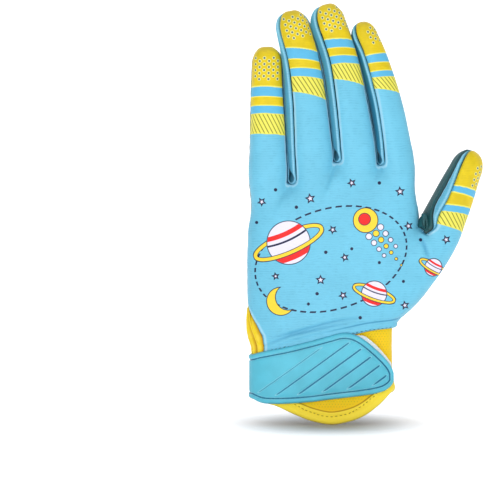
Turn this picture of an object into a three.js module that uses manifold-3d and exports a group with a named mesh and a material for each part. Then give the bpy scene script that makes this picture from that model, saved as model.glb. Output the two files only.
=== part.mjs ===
// A left-hand football glove, standing as if worn, fingers up and the back of the hand to the front (-Y).
// Lengths are millimetres. +Z runs to the fingertips, +X to the thumb, and the origin is the centre of the
// wrist opening. The glove is sewn from thin panels: a back-of-hand panel and a palm panel that both run to
// the fingertips, narrow side strips between the fingers and along the thumb, a stretch cuff with a rounded
// pull flap, a pleated gusset at the little-finger side, and a moulded strap that closes over the cuff.
import * as THREE from "three";
import Module from "manifold-3d";

const wasm = await Module();
wasm.setup();

// Driving dimensions.
const WALL = 1.3; // cloth of the panels
const SEAM_GAP = 0.3; // left between neighbouring pieces
const SQUARENESS = 2.6; // superellipse exponent of fingers, hand and cuff
const FINGER_SIDES = 12;
const HAND_SIDES = 22;
const DOME_STEPS = 3; // rings that round a fingertip
const DOME_LAST = 0.9; // how far round the last of them lies, 1 being the very tip
const DOME_FULLNESS = 0.8; // below 1 keeps a fingertip blunt
const LEAST_HALF_WIDTH = 0.8; // of a ring drawn in at a fingertip
const HAND_MIDDLE_X = 1.8; // where the slanting hand sections are measured
const HAND_SLANT = 0.214; // rise of the knuckle line and the wrist hem towards the thumb
const STRAP_THICKNESS = 1.7;
const STRAP_CLEARANCE = 0.8; // from the hem to the strap's inner face
const CUFF_TOP = 36.5; // height of the cuff's upper edge, tucked under the hem
const CUFF_BACK_LOW = 3; // height of the cuff's lower edge on the palm side
const CUFF_INSET = 2.2; // from the hem's outer face to the cuff's
const CUFF_STEP = 6; // degrees between the cuff's corners
const STRAP_STEP = 5; // degrees between the strap's corners
const GUSSET_WALL = 1.2;
const GUSSET_TUCK = 1.0; // how far the gusset runs in behind the panels' edges
const GUSSET_CLEARANCE = 0.8; // from the panels' inner face, which is flat between its corners

const CLEAR = 20; // how far a cutting solid runs past what it cuts

const COLOURS = {
  skyBlue: 0x78cdec,
  palmTeal: 0x1c6f78,
  sideBlue: 0x4fb2de,
  yellow: 0xf0cc2c,
  strapTeal: 0x5fcbe0,
  hookWhite: 0xe9eeee,
};

// Each finger: its centre line from inside the hand to where the tip begins to round, its half width, its
// half depth, the turn of its back towards the thumb in degrees, and half the width of its side strip.
const LITTLE = [
  { x: -28.4, y: -2.5, z: 100, width: 9.0, depth: 9.0, turn: 0, strip: 4.6 },
  { x: -30.8, y: -2.5, z: 126, width: 11.5, depth: 10.6, turn: 0, strip: 4.6 },
  { x: -31.1, y: -2.0, z: 145, width: 10.9, depth: 10.0, turn: 0, strip: 4.8 },
  { x: -31.4, y: -0.6, z: 162, width: 10.2, depth: 9.4, turn: 0, strip: 4.6 },
  { x: -31.8, y: 2.2, z: 180, width: 9.3, depth: 8.8, turn: 0, strip: 4.0 },
  { x: -32.0, y: 5.4, z: 194, width: 8.7, depth: 8.0, turn: 0, strip: 2.4 },
];
const RING = [
  { x: -3.6, y: -3.0, z: 108, width: 12.4, depth: 11.0, turn: 6, strip: 4.6 },
  { x: -4.6, y: -3.0, z: 128, width: 12.2, depth: 10.9, turn: 8, strip: 4.8 },
  { x: -6.0, y: -2.8, z: 147, width: 12.0, depth: 10.4, turn: 10, strip: 5.0 },
  { x: -8.4, y: -1.2, z: 174, width: 10.9, depth: 9.6, turn: 12, strip: 4.8 },
  { x: -11.7, y: 2.4, z: 197, width: 9.9, depth: 9.0, turn: 12, strip: 4.2 },
  { x: -15.9, y: 6.8, z: 214, width: 9.0, depth: 8.2, turn: 12, strip: 2.4 },
];
const MIDDLE = [
  { x: 23.0, y: -3.2, z: 110, width: 11.8, depth: 11.0, turn: 8, strip: 4.6 },
  { x: 21.2, y: -3.2, z: 130, width: 11.6, depth: 10.9, turn: 10, strip: 4.8 },
  { x: 19.3, y: -3.0, z: 149, width: 11.1, depth: 10.4, turn: 12, strip: 5.0 },
  { x: 15.4, y: -1.4, z: 176, width: 10.0, depth: 9.6, turn: 14, strip: 4.8 },
  { x: 11.4, y: 2.2, z: 198, width: 9.0, depth: 9.0, turn: 14, strip: 4.2 },
  { x: 5.4, y: 7.2, z: 218, width: 8.5, depth: 8.2, turn: 14, strip: 2.4 },
];
const INDEX = [
  { x: 42.0, y: -2.8, z: 104, width: 8.6, depth: 9.4, turn: 12, strip: 4.6 },
  { x: 43.6, y: -2.8, z: 132, width: 10.2, depth: 10.6, turn: 16, strip: 4.8 },
  { x: 41.6, y: -2.4, z: 149, width: 9.3, depth: 10.0, turn: 20, strip: 5.0 },
  { x: 36.5, y: -0.8, z: 174, width: 8.7, depth: 9.2, turn: 26, strip: 4.8 },
  { x: 29.6, y: 2.8, z: 198, width: 7.7, depth: 8.5, turn: 30, strip: 4.0 },
  { x: 25.3, y: 5.8, z: 210, width: 7.0, depth: 7.8, turn: 30, strip: 2.4 },
];
const THUMB = [
  { x: 34.0, y: 0.0, z: 58.0, width: 12.0, depth: 12.0, turn: 0, strip: 0.8 },
  { x: 52.0, y: 0.4, z: 73.6, width: 16.2, depth: 14.0, turn: 4, strip: 0.8 },
  { x: 59.3, y: 1.2, z: 81.0, width: 15.0, depth: 13.6, turn: 10, strip: 1.2 },
  { x: 66.5, y: 2.6, z: 94.4, width: 12.9, depth: 12.2, turn: 20, strip: 2.2 },
  { x: 71.2, y: 4.0, z: 104.7, width: 12.1, depth: 11.4, turn: 28, strip: 4.6 },
  { x: 76.6, y: 6.2, z: 116.5, width: 11.0, depth: 10.4, turn: 34, strip: 4.8 },
  { x: 84.0, y: 9.4, z: 133.0, width: 9.0, depth: 8.8, turn: 36, strip: 3.0 },
];

const FINGERS = {
  little: { rows: LITTLE, dome: 11.2, strips: { left: false, right: true } },
  ring: { rows: RING, dome: 12.4, strips: { left: true, right: true } },
  middle: { rows: MIDDLE, dome: 12.2, strips: { left: true, right: true } },
  index: { rows: INDEX, dome: 9.8, strips: { left: true, right: false } },
  thumb: { rows: THUMB, dome: 12.2, strips: { left: true, right: false } },
};

// The hand from the wrist hem to the web between the fingers, on slanting sections.
const HAND = [
  { z: 31, left: -39.7, right: 43.2, y: 0, depth: 13.5, crown: 0 },
  { z: 43, left: -41.2, right: 46.0, y: 0, depth: 14.6, crown: 0 },
  { z: 57, left: -42.8, right: 50.8, y: 0, depth: 16.0, crown: 0 },
  { z: 75, left: -43.3, right: 55.2, y: 0, depth: 17.0, crown: 0 },
  { z: 95, left: -43.2, right: 56.4, y: 0, depth: 16.8, crown: 1 },
  { z: 110, left: -42.8, right: 55.4, y: -0.3, depth: 15.8, crown: 3 },
  { z: 120, left: -42.2, right: 54.0, y: -0.8, depth: 14.2, crown: 4 },
  { z: 126, left: -40.8, right: 52.4, y: -1.2, depth: 11.8, crown: 5 },
  { z: 129.5, left: -38.0, right: 50.0, y: -1.6, depth: 7.8, crown: 5 },
];

// Where the hand's front gives way to the thumb's.
const HAND_FRONT_RIGHT = 60;

// How far in front of the hand's middle its side seams run.
const HAND_SEAM = [
  { z: 10, forward: 0 },
  { z: 95, forward: 0 },
  { z: 110, forward: 2.5 },
  { z: 137, forward: 5 },
];

// The slit at the little-finger side, which the gusset fills: its half width at each height.
const LEAF = [
  { z: 60, half: 0.2 },
  { z: 57, half: 0.6 },
  { z: 50, half: 5.0 },
  { z: 43, half: 8.4 },
  { z: 36, half: 9.6 },
  { z: 30.5, half: 9.2 },
];

// The strap's lower and upper edge across the back of the wrist, from the little-finger side to the tab.
const STRAP_FRONT = [
  { x: -41, low: 1.7, high: 26.3 },
  { x: -37, low: -0.8, high: 27.6 },
  { x: -32, low: -1.9, high: 28.7 },
  { x: -20, low: -1.9, high: 31.2 },
  { x: -7, low: -0.9, high: 34.4 },
  { x: 4, low: 0.5, high: 37.4 },
  { x: 11, low: 1.3, high: 39.2 },
  { x: 17, low: 2.0, high: 38.8 },
  { x: 23, low: 2.7, high: 36.2 },
  { x: 30, low: 3.7, high: 30.8 },
  { x: 36, low: 5.4, high: 25.2 },
  { x: 39.5, low: 8.2, high: 20.4 },
  { x: 41.4, low: 11.8, high: 16.2 },
];
const STRAP_BACK = { low: 1.7, high: 26.3, endAngle: 62 };
const STRAP_END_ANGLE = 336;

// The cuff's lower edge across the back of the wrist, which dips into the pull flap.
const FLAP = [
  { x: -39, low: 1.5 },
  { x: -33, low: -2.0 },
  { x: -26, low: -3.8 },
  { x: -16, low: -8.0 },
  { x: -6, low: -12.0 },
  { x: 5, low: -14.2 },
  { x: 16, low: -12.2 },
  { x: 24, low: -8.6 },
  { x: 31.5, low: -2.3 },
  { x: 37.5, low: 4.4 },
  { x: 42, low: 8.0 },
];

const FLAP_BLEND = 6; // depth over which the flap's edge runs into the palm side's

// Value of a named column at a place along a table, between rows along a straight line.
function lookUp(rows, key, at, column) {
  const rising = rows[0][key] < rows[rows.length - 1][key];
  const ordered = rising ? rows : [...rows].reverse();
  if (at <= ordered[0][key]) return ordered[0][column];
  for (let i = 1; i < ordered.length; i++) {
    const a = ordered[i - 1];
    const b = ordered[i];
    if (at <= b[key]) {
      const t = (at - a[key]) / (b[key] - a[key]);
      return a[column] + t * (b[column] - a[column]);
    }
  }
  return ordered[ordered.length - 1][column];
}

// A closed solid through rings of points, each ring convex, with flat ends.
function loft(rings) {
  const around = rings[0].length;
  const points = rings.flat();
  const faces = [];
  for (let r = 0; r + 1 < rings.length; r++)
    for (let i = 0; i < around; i++) {
      const a = r * around + i;
      const b = r * around + ((i + 1) % around);
      faces.push(a, b, b + around, a, b + around, a + around);
    }
  const last = (rings.length - 1) * around;
  for (let i = 1; i + 1 < around; i++) {
    faces.push(0, i + 1, i);
    faces.push(last, last + i, last + i + 1);
  }
  return solidFrom(points, faces);
}

// A strip that runs around the wrist: a ring of four corners at each place, joined end to end or closed.
function wristStrip(places, closed) {
  const corners = places.map((p) => [
    new THREE.Vector3(p.inner.x, p.inner.y, p.low),
    new THREE.Vector3(p.outer.x, p.outer.y, p.low),
    new THREE.Vector3(p.outer.x, p.outer.y, p.high),
    new THREE.Vector3(p.inner.x, p.inner.y, p.high),
  ]);
  if (!closed) return loft(corners);
  const faces = [];
  corners.forEach((_, r) => {
    const next = ((r + 1) % corners.length) * 4;
    for (let i = 0; i < 4; i++) {
      const j = (i + 1) % 4;
      faces.push(r * 4 + i, r * 4 + j, next + j, r * 4 + i, next + j, next + i);
    }
  });
  return solidFrom(corners.flat(), faces);
}

// A solid from points and faces, turned so that its faces point out.
function solidFrom(points, faces) {
  const vertProperties = new Float32Array(points.flatMap((p) => [p.x, p.y, p.z]));
  let volume = 0;
  for (let i = 0; i < faces.length; i += 3) {
    const [a, b, c] = [points[faces[i]], points[faces[i + 1]], points[faces[i + 2]]];
    volume += a.dot(new THREE.Vector3().crossVectors(b, c)) / 6;
  }
  const ordered = volume < 0 ? faces.map((_, i) => faces[i - (i % 3) + [0, 2, 1][i % 3]]) : faces;
  const triVerts = new Uint32Array(ordered);
  return new wasm.Manifold(new wasm.Mesh({ numProp: 3, vertProperties, triVerts }));
}

function joined(solids) {
  return solids.reduce((sum, s) => sum.add(s));
}

// A point of a superellipse, angle 0 along its width and 90 along its depth.
function superellipse(degrees, width, depth) {
  const angle = THREE.MathUtils.degToRad(degrees);
  const stretch = (c) => Math.sign(c) * Math.abs(c) ** (2 / SQUARENESS);
  return new THREE.Vector2(width * stretch(Math.cos(angle)), depth * stretch(Math.sin(angle)));
}

// The axes of a finger's section: along the finger, across it towards the thumb, and in towards the palm.
function sectionAxes(rows, i) {
  const before = rows[Math.max(i - 1, 0)];
  const after = rows[Math.min(i + 1, rows.length - 1)];
  const run = new THREE.Vector3(after.x - before.x, after.y - before.y, after.z - before.z);
  const along = run.normalize();
  const level = new THREE.Vector3(along.z, 0, -along.x).normalize();
  const inward = new THREE.Vector3().crossVectors(along, level);
  const turn = THREE.MathUtils.degToRad(rows[i].turn);
  const across = level.clone().multiplyScalar(Math.cos(turn)).addScaledVector(inward, Math.sin(turn));
  inward.multiplyScalar(Math.cos(turn)).addScaledVector(level, -Math.sin(turn));
  return { along, across, inward };
}

// Every section of a finger, the rounding ones at its tip included, each with its centre and axes.
function fingerSections({ rows, dome }) {
  const sections = rows.map((row, i) => ({
    ...row,
    ...sectionAxes(rows, i),
    centre: new THREE.Vector3(row.x, row.y, row.z),
    shrink: 1,
  }));
  const base = sections[sections.length - 1];
  for (let k = 1; k <= DOME_STEPS; k++) {
    const angle = (k / DOME_STEPS) * DOME_LAST * (Math.PI / 2);
    const centre = base.centre.clone().addScaledVector(base.along, dome * Math.sin(angle));
    sections.push({ ...base, centre, shrink: Math.cos(angle) ** DOME_FULLNESS });
  }
  return sections;
}

function sectionPoint(section, u, v) {
  return section.centre.clone().addScaledVector(section.across, u).addScaledVector(section.inward, v);
}

// A finger as a solid, its sides and tip drawn in by inset.
function fingerSolid(finger, inset) {
  const rings = fingerSections(finger).map((s) => {
    const width = Math.max(s.width * s.shrink - inset, LEAST_HALF_WIDTH);
    const depth = Math.max(s.depth * s.shrink - inset, LEAST_HALF_WIDTH);
    const pulled = { ...s, centre: s.centre.clone().addScaledVector(s.along, s.shrink < 1 ? -inset : 0) };
    return Array.from({ length: FINGER_SIDES }, (_, i) => {
      const p = superellipse((360 * (i + 0.5)) / FINGER_SIDES, width, depth);
      return sectionPoint(pulled, p.x, p.y);
    });
  });
  return loft(rings);
}

// Height of a slanting hand section over the point x.
function slanted(z, x) {
  return z + HAND_SLANT * (x - HAND_MIDDLE_X);
}

function handSolid(rows, inset) {
  const top = rows.length - 1;
  const rings = rows.map((row, r) => {
    const width = (row.right - row.left) / 2 - inset;
    const centre = (row.right + row.left) / 2;
    return Array.from({ length: HAND_SIDES }, (_, i) => {
      const p = superellipse((360 * (i + 0.5)) / HAND_SIDES, width, row.depth - inset);
      const lift = row.crown * (1 - (p.x / width) ** 2) - (r === top ? inset : 0);
      return new THREE.Vector3(centre + p.x, row.y + p.y, slanted(row.z, centre + p.x) + lift);
    });
  });
  return loft(rings);
}

// The whole glove's skin: everything outside less everything inside, open at the wrist.
const below = { ...HAND[0], z: HAND[0].z - CLEAR };
const hollow = joined([
  handSolid([below, ...HAND], WALL),
  ...Object.values(FINGERS).map((f) => fingerSolid(f, WALL)),
]);
const skin = joined([
  handSolid(HAND, 0),
  ...Object.values(FINGERS).map((f) => fingerSolid(f, 0)),
]).subtract(hollow);

// How far below its seam the front of a finger reaches on one side: to its strip, or to the middle.
function seamDepth(section, hasStrip) {
  return hasStrip ? section.strip * section.shrink ** 2 : 0;
}

// The space in front of a finger's seams, drawn back by gap. Its side walls fall inside reach.
function frontSpace({ rows, dome, strips }, gap) {
  const past = 4 * WALL;
  const sections = fingerSections({ rows, dome });
  const tip = sections[sections.length - 1];
  const beyond = { ...tip, centre: tip.centre.clone().addScaledVector(tip.along, past) };
  const rings = [...sections, beyond].map((s) => {
    const reach = s.width * s.shrink + 2 * SEAM_GAP - gap;
    return [
      sectionPoint(s, -reach, -seamDepth(s, strips.left) - gap),
      sectionPoint(s, reach, -seamDepth(s, strips.right) - gap),
      sectionPoint(s, reach, -s.depth - past),
      sectionPoint(s, -reach, -s.depth - past),
    ];
  });
  return loft(rings);
}

// The space of one side strip of a finger, side -1 or 1, from just under the web to near the tip, wider and
// longer by grow all round.
function stripSpace({ finger, side, from, web }, grow) {
  const sections = fingerSections(finger).filter((s) => s.centre.z > from);
  const used = sections.filter((s) => seamDepth(s, true) > 2 * SEAM_GAP);
  const rings = used.map((s, i) => {
    const reach = s.width * s.shrink + grow + (i < 2 ? web : SEAM_GAP);
    const half = seamDepth(s, true) + grow;
    const end = i === used.length - 1 ? grow : 0;
    const at = { ...s, centre: s.centre.clone().addScaledVector(s.along, i === 0 ? -grow : end) };
    return [
      sectionPoint(at, 0, -half),
      sectionPoint(at, side * reach, -half),
      sectionPoint(at, side * reach, half),
      sectionPoint(at, 0, half),
    ];
  });
  return loft(rings);
}

// The space in front of the hand's own seams, from under the wrist hem to the web between the fingers.
function handFrontSpace(gap) {
  const left = HAND[3].left - CLEAR;
  const right = HAND_FRONT_RIGHT - gap;
  const far = -HAND[3].depth - CLEAR;
  return loft(
    HAND_SEAM.map(({ z, forward }) => [
      new THREE.Vector3(left, far, slanted(z - gap, left)),
      new THREE.Vector3(right, far, slanted(z - gap, right)),
      new THREE.Vector3(right, -forward - gap, slanted(z - gap, right)),
      new THREE.Vector3(left, -forward - gap, slanted(z - gap, left)),
    ]),
  );
}

// Everything in front of the seams: the hand's own front half and each finger's.
function frontOfSeams(gap) {
  return joined([handFrontSpace(gap), ...Object.values(FINGERS).map((f) => frontSpace(f, gap))]);
}

// The side strips: which two finger sides each one joins, and where it starts.
const STRIPS = {
  strip_little_ring: [
    { finger: FINGERS.little, side: 1, from: 100, web: 3 },
    { finger: FINGERS.ring, side: -1, from: 100, web: 3 },
  ],
  strip_ring_middle: [
    { finger: FINGERS.ring, side: 1, from: 100, web: 3 },
    { finger: FINGERS.middle, side: -1, from: 100, web: 3 },
  ],
  strip_middle_index: [
    { finger: FINGERS.middle, side: 1, from: 100, web: 3 },
    { finger: FINGERS.index, side: -1, from: 100, web: 3 },
  ],
  strip_thumb: [{ finger: FINGERS.thumb, side: -1, from: 92, web: SEAM_GAP }],
};

function stripSpaces(grow) {
  return Object.fromEntries(
    Object.entries(STRIPS).map(([name, sides]) => [
      name,
      joined(sides.map((s) => stripSpace(s, grow))),
    ]),
  );
}

// The leaf-shaped slit at the little-finger side, wider by grow all round.
function leafSpace(grow) {
  const last = LEAF[LEAF.length - 1];
  const [out, inside] = [HAND[0].left - CLEAR, HAND[0].left + CLEAR];
  const rings = [...LEAF, { ...last, z: last.z - CLEAR }].map((row) => {
    const half = row.half + grow;
    return [
      new THREE.Vector3(out, -half, row.z),
      new THREE.Vector3(inside, -half, row.z),
      new THREE.Vector3(inside, half, row.z),
      new THREE.Vector3(out, half, row.z),
    ];
  });
  return loft(rings);
}

// The hand's face on the little-finger side, drawn in by inset, at depth y and height z.
function handSideX(y, z, inset) {
  const level = z - HAND_SLANT * (HAND[0].left - HAND_MIDDLE_X);
  const left = lookUp(HAND, "z", level, "left") + inset;
  const right = lookUp(HAND, "z", level, "right") - inset;
  const depth = lookUp(HAND, "z", level, "depth") - inset;
  const share = Math.min(Math.abs(y) / depth, 0.98);
  const width = (right - left) / 2;
  return (left + right) / 2 - width * (1 - share ** SQUARENESS) ** (1 / SQUARENESS);
}

// The gusset's folds: how far its two ridges stand out and its middle valley sinks in, at each height.
const PLEATS = [
  { z: 56.6, ridge: 0.2, valley: 0.1 },
  { z: 52, ridge: 1.2, valley: 0.8 },
  { z: 46, ridge: 2.2, valley: 2.2 },
  { z: 40, ridge: 2.6, valley: 3.2 },
  { z: 35, ridge: 2.2, valley: 3.0 },
  { z: 31, ridge: 1.2, valley: 2.0 },
];
const PLEAT_STEPS = 12;
const VALLEY_SHARPNESS = 4;

function gussetSolid() {
  const rings = PLEATS.map((row) => {
    const half = lookUp(LEAF, "z", row.z, "half");
    const outer = [];
    const inner = [];
    for (let i = 0; i <= PLEAT_STEPS; i++) {
      const t = -1 + (2 * i) / PLEAT_STEPS;
      const y = t * (half + GUSSET_TUCK);
      const within = Math.max(0, 1 - (y / Math.max(half - SEAM_GAP, SEAM_GAP)) ** 2);
      const wave = row.ridge * Math.sqrt(within) - (row.ridge + row.valley) * within ** VALLEY_SHARPNESS;
      const face = handSideX(y, row.z, WALL + GUSSET_CLEARANCE);
      outer.push(new THREE.Vector3(face - wave, y, row.z));
      inner.push(new THREE.Vector3(face - wave + GUSSET_WALL, y, row.z));
    }
    return [outer, inner];
  });
  return sheetSolid(rings);
}

// A sheet with a thickness: rows of outer points and of inner points, closed at its edges and ends.
function sheetSolid(rows) {
  const across = rows[0][0].length;
  const points = rows.flatMap(([outer, inner]) => [...outer, ...inner]);
  const at = (r, side, i) => r * 2 * across + side * across + i;
  const faces = [];
  const quad = (a, b, c, d) => faces.push(a, b, c, a, c, d);
  for (let r = 0; r + 1 < rows.length; r++) {
    for (let i = 0; i + 1 < across; i++) {
      quad(at(r, 0, i), at(r, 0, i + 1), at(r + 1, 0, i + 1), at(r + 1, 0, i));
      quad(at(r, 1, i), at(r + 1, 1, i), at(r + 1, 1, i + 1), at(r, 1, i + 1));
    }
    for (const i of [0, across - 1]) {
      const [a, b, c, d] = [at(r, 0, i), at(r + 1, 0, i), at(r + 1, 1, i), at(r, 1, i)];
      if (i === 0) quad(a, b, c, d);
      else quad(a, d, c, b);
    }
  }
  for (const r of [0, rows.length - 1])
    for (let i = 0; i + 1 < across; i++) {
      const [a, b, c, d] = [at(r, 0, i), at(r, 0, i + 1), at(r, 1, i + 1), at(r, 1, i)];
      if (r === 0) quad(a, d, c, b);
      else quad(a, b, c, d);
    }
  return solidFrom(points, faces);
}

// A point of the curve that runs round the wrist at the hem, moved out by offset.
function wristPoint(degrees, offset) {
  const { left, right, depth } = HAND[0];
  const p = superellipse(degrees, (right - left) / 2 + offset, depth + offset);
  return new THREE.Vector2((left + right) / 2 + p.x, p.y);
}

function anglesBetween(from, to, step) {
  const count = Math.round((to - from) / step);
  return Array.from({ length: count + 1 }, (_, i) => from + ((to - from) * i) / count);
}


function cuffSolid() {
  const places = anglesBetween(0, 360 - CUFF_STEP, CUFF_STEP).map((degrees) => {
    const outer = wristPoint(degrees, -CUFF_INSET);
    const inner = wristPoint(degrees, -CUFF_INSET - WALL);
    const front = THREE.MathUtils.clamp(-outer.y / FLAP_BLEND, 0, 1);
    const flap = lookUp(FLAP, "x", outer.x, "low");
    const high = slanted(CUFF_TOP, outer.x);
    return { outer, inner, low: CUFF_BACK_LOW + front * (flap - CUFF_BACK_LOW), high };
  });
  return wristStrip(places, true);
}

function strapSolid() {
  const places = anglesBetween(STRAP_BACK.endAngle, STRAP_END_ANGLE, STRAP_STEP).map((degrees) => {
    const inner = wristPoint(degrees, STRAP_CLEARANCE);
    const outer = wristPoint(degrees, STRAP_CLEARANCE + STRAP_THICKNESS);
    const front = degrees > 180;
    const low = front ? lookUp(STRAP_FRONT, "x", inner.x, "low") : STRAP_BACK.low;
    const high = front ? lookUp(STRAP_FRONT, "x", inner.x, "high") : STRAP_BACK.high;
    return { inner, outer, low, high };
  });
  return wristStrip(places, false);
}

// The hook patch on the tab's underside, between the tab and the cuff, stopping short of the hem.
const PATCH = { from: 282, to: 333, show: 1.0, insetLow: 1.5 };

function hookPatchSolid() {
  const places = anglesBetween(PATCH.from, PATCH.to, STRAP_STEP).map((degrees) => {
    const inner = wristPoint(degrees, SEAM_GAP - CUFF_INSET);
    const outer = wristPoint(degrees, STRAP_CLEARANCE - SEAM_GAP);
    const hem = slanted(HAND[0].z, inner.x) - 1;
    const high = Math.min(lookUp(STRAP_FRONT, "x", inner.x, "high") + PATCH.show, hem);
    const low = lookUp(STRAP_FRONT, "x", inner.x, "low") + PATCH.insetLow;
    return { inner, outer, low, high };
  });
  return wristStrip(places, false);
}

// A solid as a named mesh in one plain colour.
function meshOf(name, solid, color, roughness) {
  const made = solid.getMesh();
  const geometry = new THREE.BufferGeometry();
  geometry.setAttribute("position", new THREE.BufferAttribute(new Float32Array(made.vertProperties), 3));
  geometry.setIndex(new THREE.BufferAttribute(new Uint32Array(made.triVerts), 1));
  const mesh = new THREE.Mesh(
    geometry,
    new THREE.MeshStandardMaterial({ color, roughness, metalness: 0 }),
  );
  mesh.name = name;
  return mesh;
}

const half = SEAM_GAP / 2;
const frontIn = frontOfSeams(half);
const frontOut = frontOfSeams(-half);
const stripIn = stripSpaces(-half);
const stripOut = joined(Object.values(stripSpaces(half)));
const leaf = leafSpace(half);

const glove = new THREE.Group();
const backOfHand = skin.intersect(frontIn).subtract(stripOut).subtract(leaf);
const palm = skin.subtract(frontOut).subtract(stripOut).subtract(leaf);
glove.add(meshOf("back_of_hand", backOfHand, COLOURS.skyBlue, 0.6));
glove.add(meshOf("palm", palm, COLOURS.palmTeal, 0.4));
for (const [name, space] of Object.entries(stripIn))
  glove.add(meshOf(name, skin.intersect(space), COLOURS.sideBlue, 0.6));
glove.add(meshOf("cuff", cuffSolid(), COLOURS.yellow, 0.7));
glove.add(meshOf("gusset", gussetSolid(), COLOURS.yellow, 0.7));
glove.add(meshOf("closure_strap", strapSolid(), COLOURS.strapTeal, 0.45));
glove.add(meshOf("hook_patch", hookPatchSolid(), COLOURS.hookWhite, 0.9));

export default glove;
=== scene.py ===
"""A printed receiver's glove for the left hand, built around its fixed frame of panels, cuff and strap."""

import math

import bpy
import numpy as np
from bpy.props import FloatProperty, FloatVectorProperty, PointerProperty
from bpy.types import Operator, Panel, PropertyGroup
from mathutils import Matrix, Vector
from mathutils.kdtree import KDTree


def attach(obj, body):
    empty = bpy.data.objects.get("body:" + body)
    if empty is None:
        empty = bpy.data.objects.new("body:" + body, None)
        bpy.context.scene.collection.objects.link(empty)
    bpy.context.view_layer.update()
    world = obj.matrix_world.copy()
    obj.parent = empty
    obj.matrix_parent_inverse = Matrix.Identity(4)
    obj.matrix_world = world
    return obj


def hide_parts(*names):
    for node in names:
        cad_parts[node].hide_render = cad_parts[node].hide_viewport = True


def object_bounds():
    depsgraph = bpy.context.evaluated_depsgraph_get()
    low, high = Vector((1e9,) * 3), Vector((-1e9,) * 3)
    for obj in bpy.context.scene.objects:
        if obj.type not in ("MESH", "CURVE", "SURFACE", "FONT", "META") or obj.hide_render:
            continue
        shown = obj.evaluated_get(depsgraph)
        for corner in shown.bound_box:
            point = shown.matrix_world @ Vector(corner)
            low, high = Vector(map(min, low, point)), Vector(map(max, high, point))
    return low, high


bl_info = {
    "name": "Football Glove",
    "version": (1, 0, 0),
    "blender": (4, 5, 0),
    "location": "3D View > Sidebar > Glove",
    "description": "Builds a printed receiver's glove: panels, side strips, cuff, gusset and wrist strap",
    "category": "Add Mesh",
}

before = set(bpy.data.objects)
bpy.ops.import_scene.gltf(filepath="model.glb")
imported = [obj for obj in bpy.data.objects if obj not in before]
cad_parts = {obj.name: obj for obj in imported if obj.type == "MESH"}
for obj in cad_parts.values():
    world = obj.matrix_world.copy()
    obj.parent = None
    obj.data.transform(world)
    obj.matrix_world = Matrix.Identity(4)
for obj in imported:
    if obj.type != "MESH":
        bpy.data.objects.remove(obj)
CAD_LOW, CAD_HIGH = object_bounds()
MM = 0.001  # the tables below are in millimetres, and Blender works in metres
FRONT, PALM = -1, 1  # sides of the glove, as signs of Y
FAR, BEYOND = 99.0, 200.0  # millimetres that stand for a seam, hem or tip too far off to matter
BARE = 15.0  # the band number of cloth that has no printed bands
FINE = 0.8  # spacing of the points along a panel

# Cross sections are superellipses of this exponent.
SQUARENESS = 2.6

# Each finger's centre line from inside the hand to where its tip begins to round. wide and deep are half
# sizes, turn is how far the back faces the thumb in degrees, strip is half the width of the side strip.
FINGER_COLUMNS = ("x", "y", "z", "wide", "deep", "turn", "strip")
LITTLE = (
    (-28.4, -2.5, 100, 9.0, 9.0, 0, 4.6),
    (-30.8, -2.5, 126, 11.5, 10.6, 2, 4.6),
    (-31.1, -2.0, 145, 10.9, 10.0, 4, 4.8),
    (-31.4, -0.6, 162, 10.2, 9.4, 5, 4.6),
    (-31.8, 2.2, 180, 9.3, 8.8, 5, 4.0),
    (-32.0, 5.4, 194, 8.7, 8.0, 5, 2.4),
)
RING = (
    (-3.6, -3.0, 108, 12.4, 11.0, 6, 4.6),
    (-4.6, -3.0, 128, 12.2, 10.9, 8, 4.8),
    (-6.0, -2.8, 147, 12.0, 10.4, 10, 5.0),
    (-8.4, -1.2, 174, 10.9, 9.6, 12, 4.8),
    (-11.7, 2.4, 197, 9.9, 9.0, 12, 4.2),
    (-15.9, 6.8, 214, 9.0, 8.2, 12, 2.4),
)
MIDDLE = (
    (23.0, -3.2, 110, 11.8, 11.0, 8, 4.6),
    (21.2, -3.2, 130, 11.6, 10.9, 10, 4.8),
    (19.3, -3.0, 149, 11.1, 10.4, 12, 5.0),
    (15.4, -1.4, 176, 10.0, 9.6, 14, 4.8),
    (11.4, 2.2, 198, 9.0, 9.0, 14, 4.2),
    (5.4, 7.2, 218, 8.5, 8.2, 14, 2.4),
)
INDEX = (
    (42.0, -2.8, 104, 8.6, 9.4, 12, 4.6),
    (43.6, -2.8, 132, 10.2, 10.6, 16, 4.8),
    (41.6, -2.4, 149, 9.3, 10.0, 20, 5.0),
    (36.5, -0.8, 174, 8.7, 9.2, 26, 4.8),
    (29.6, 2.8, 198, 7.7, 8.5, 30, 4.0),
    (25.3, 5.8, 210, 7.0, 7.8, 30, 2.4),
)
THUMB = (
    (52.0, 0.4, 73.6, 16.2, 14.0, 4, 0.8),
    (59.3, 1.2, 81.0, 15.0, 13.6, 10, 1.2),
    (66.5, 2.6, 94.4, 12.9, 12.2, 20, 10.2),
    (71.2, 4.0, 104.7, 12.1, 11.4, 28, 8.6),
    (76.6, 6.2, 116.5, 11.0, 10.4, 34, 7.4),
    (84.0, 9.4, 133.0, 9.0, 8.8, 36, 4.4),
)

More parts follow.
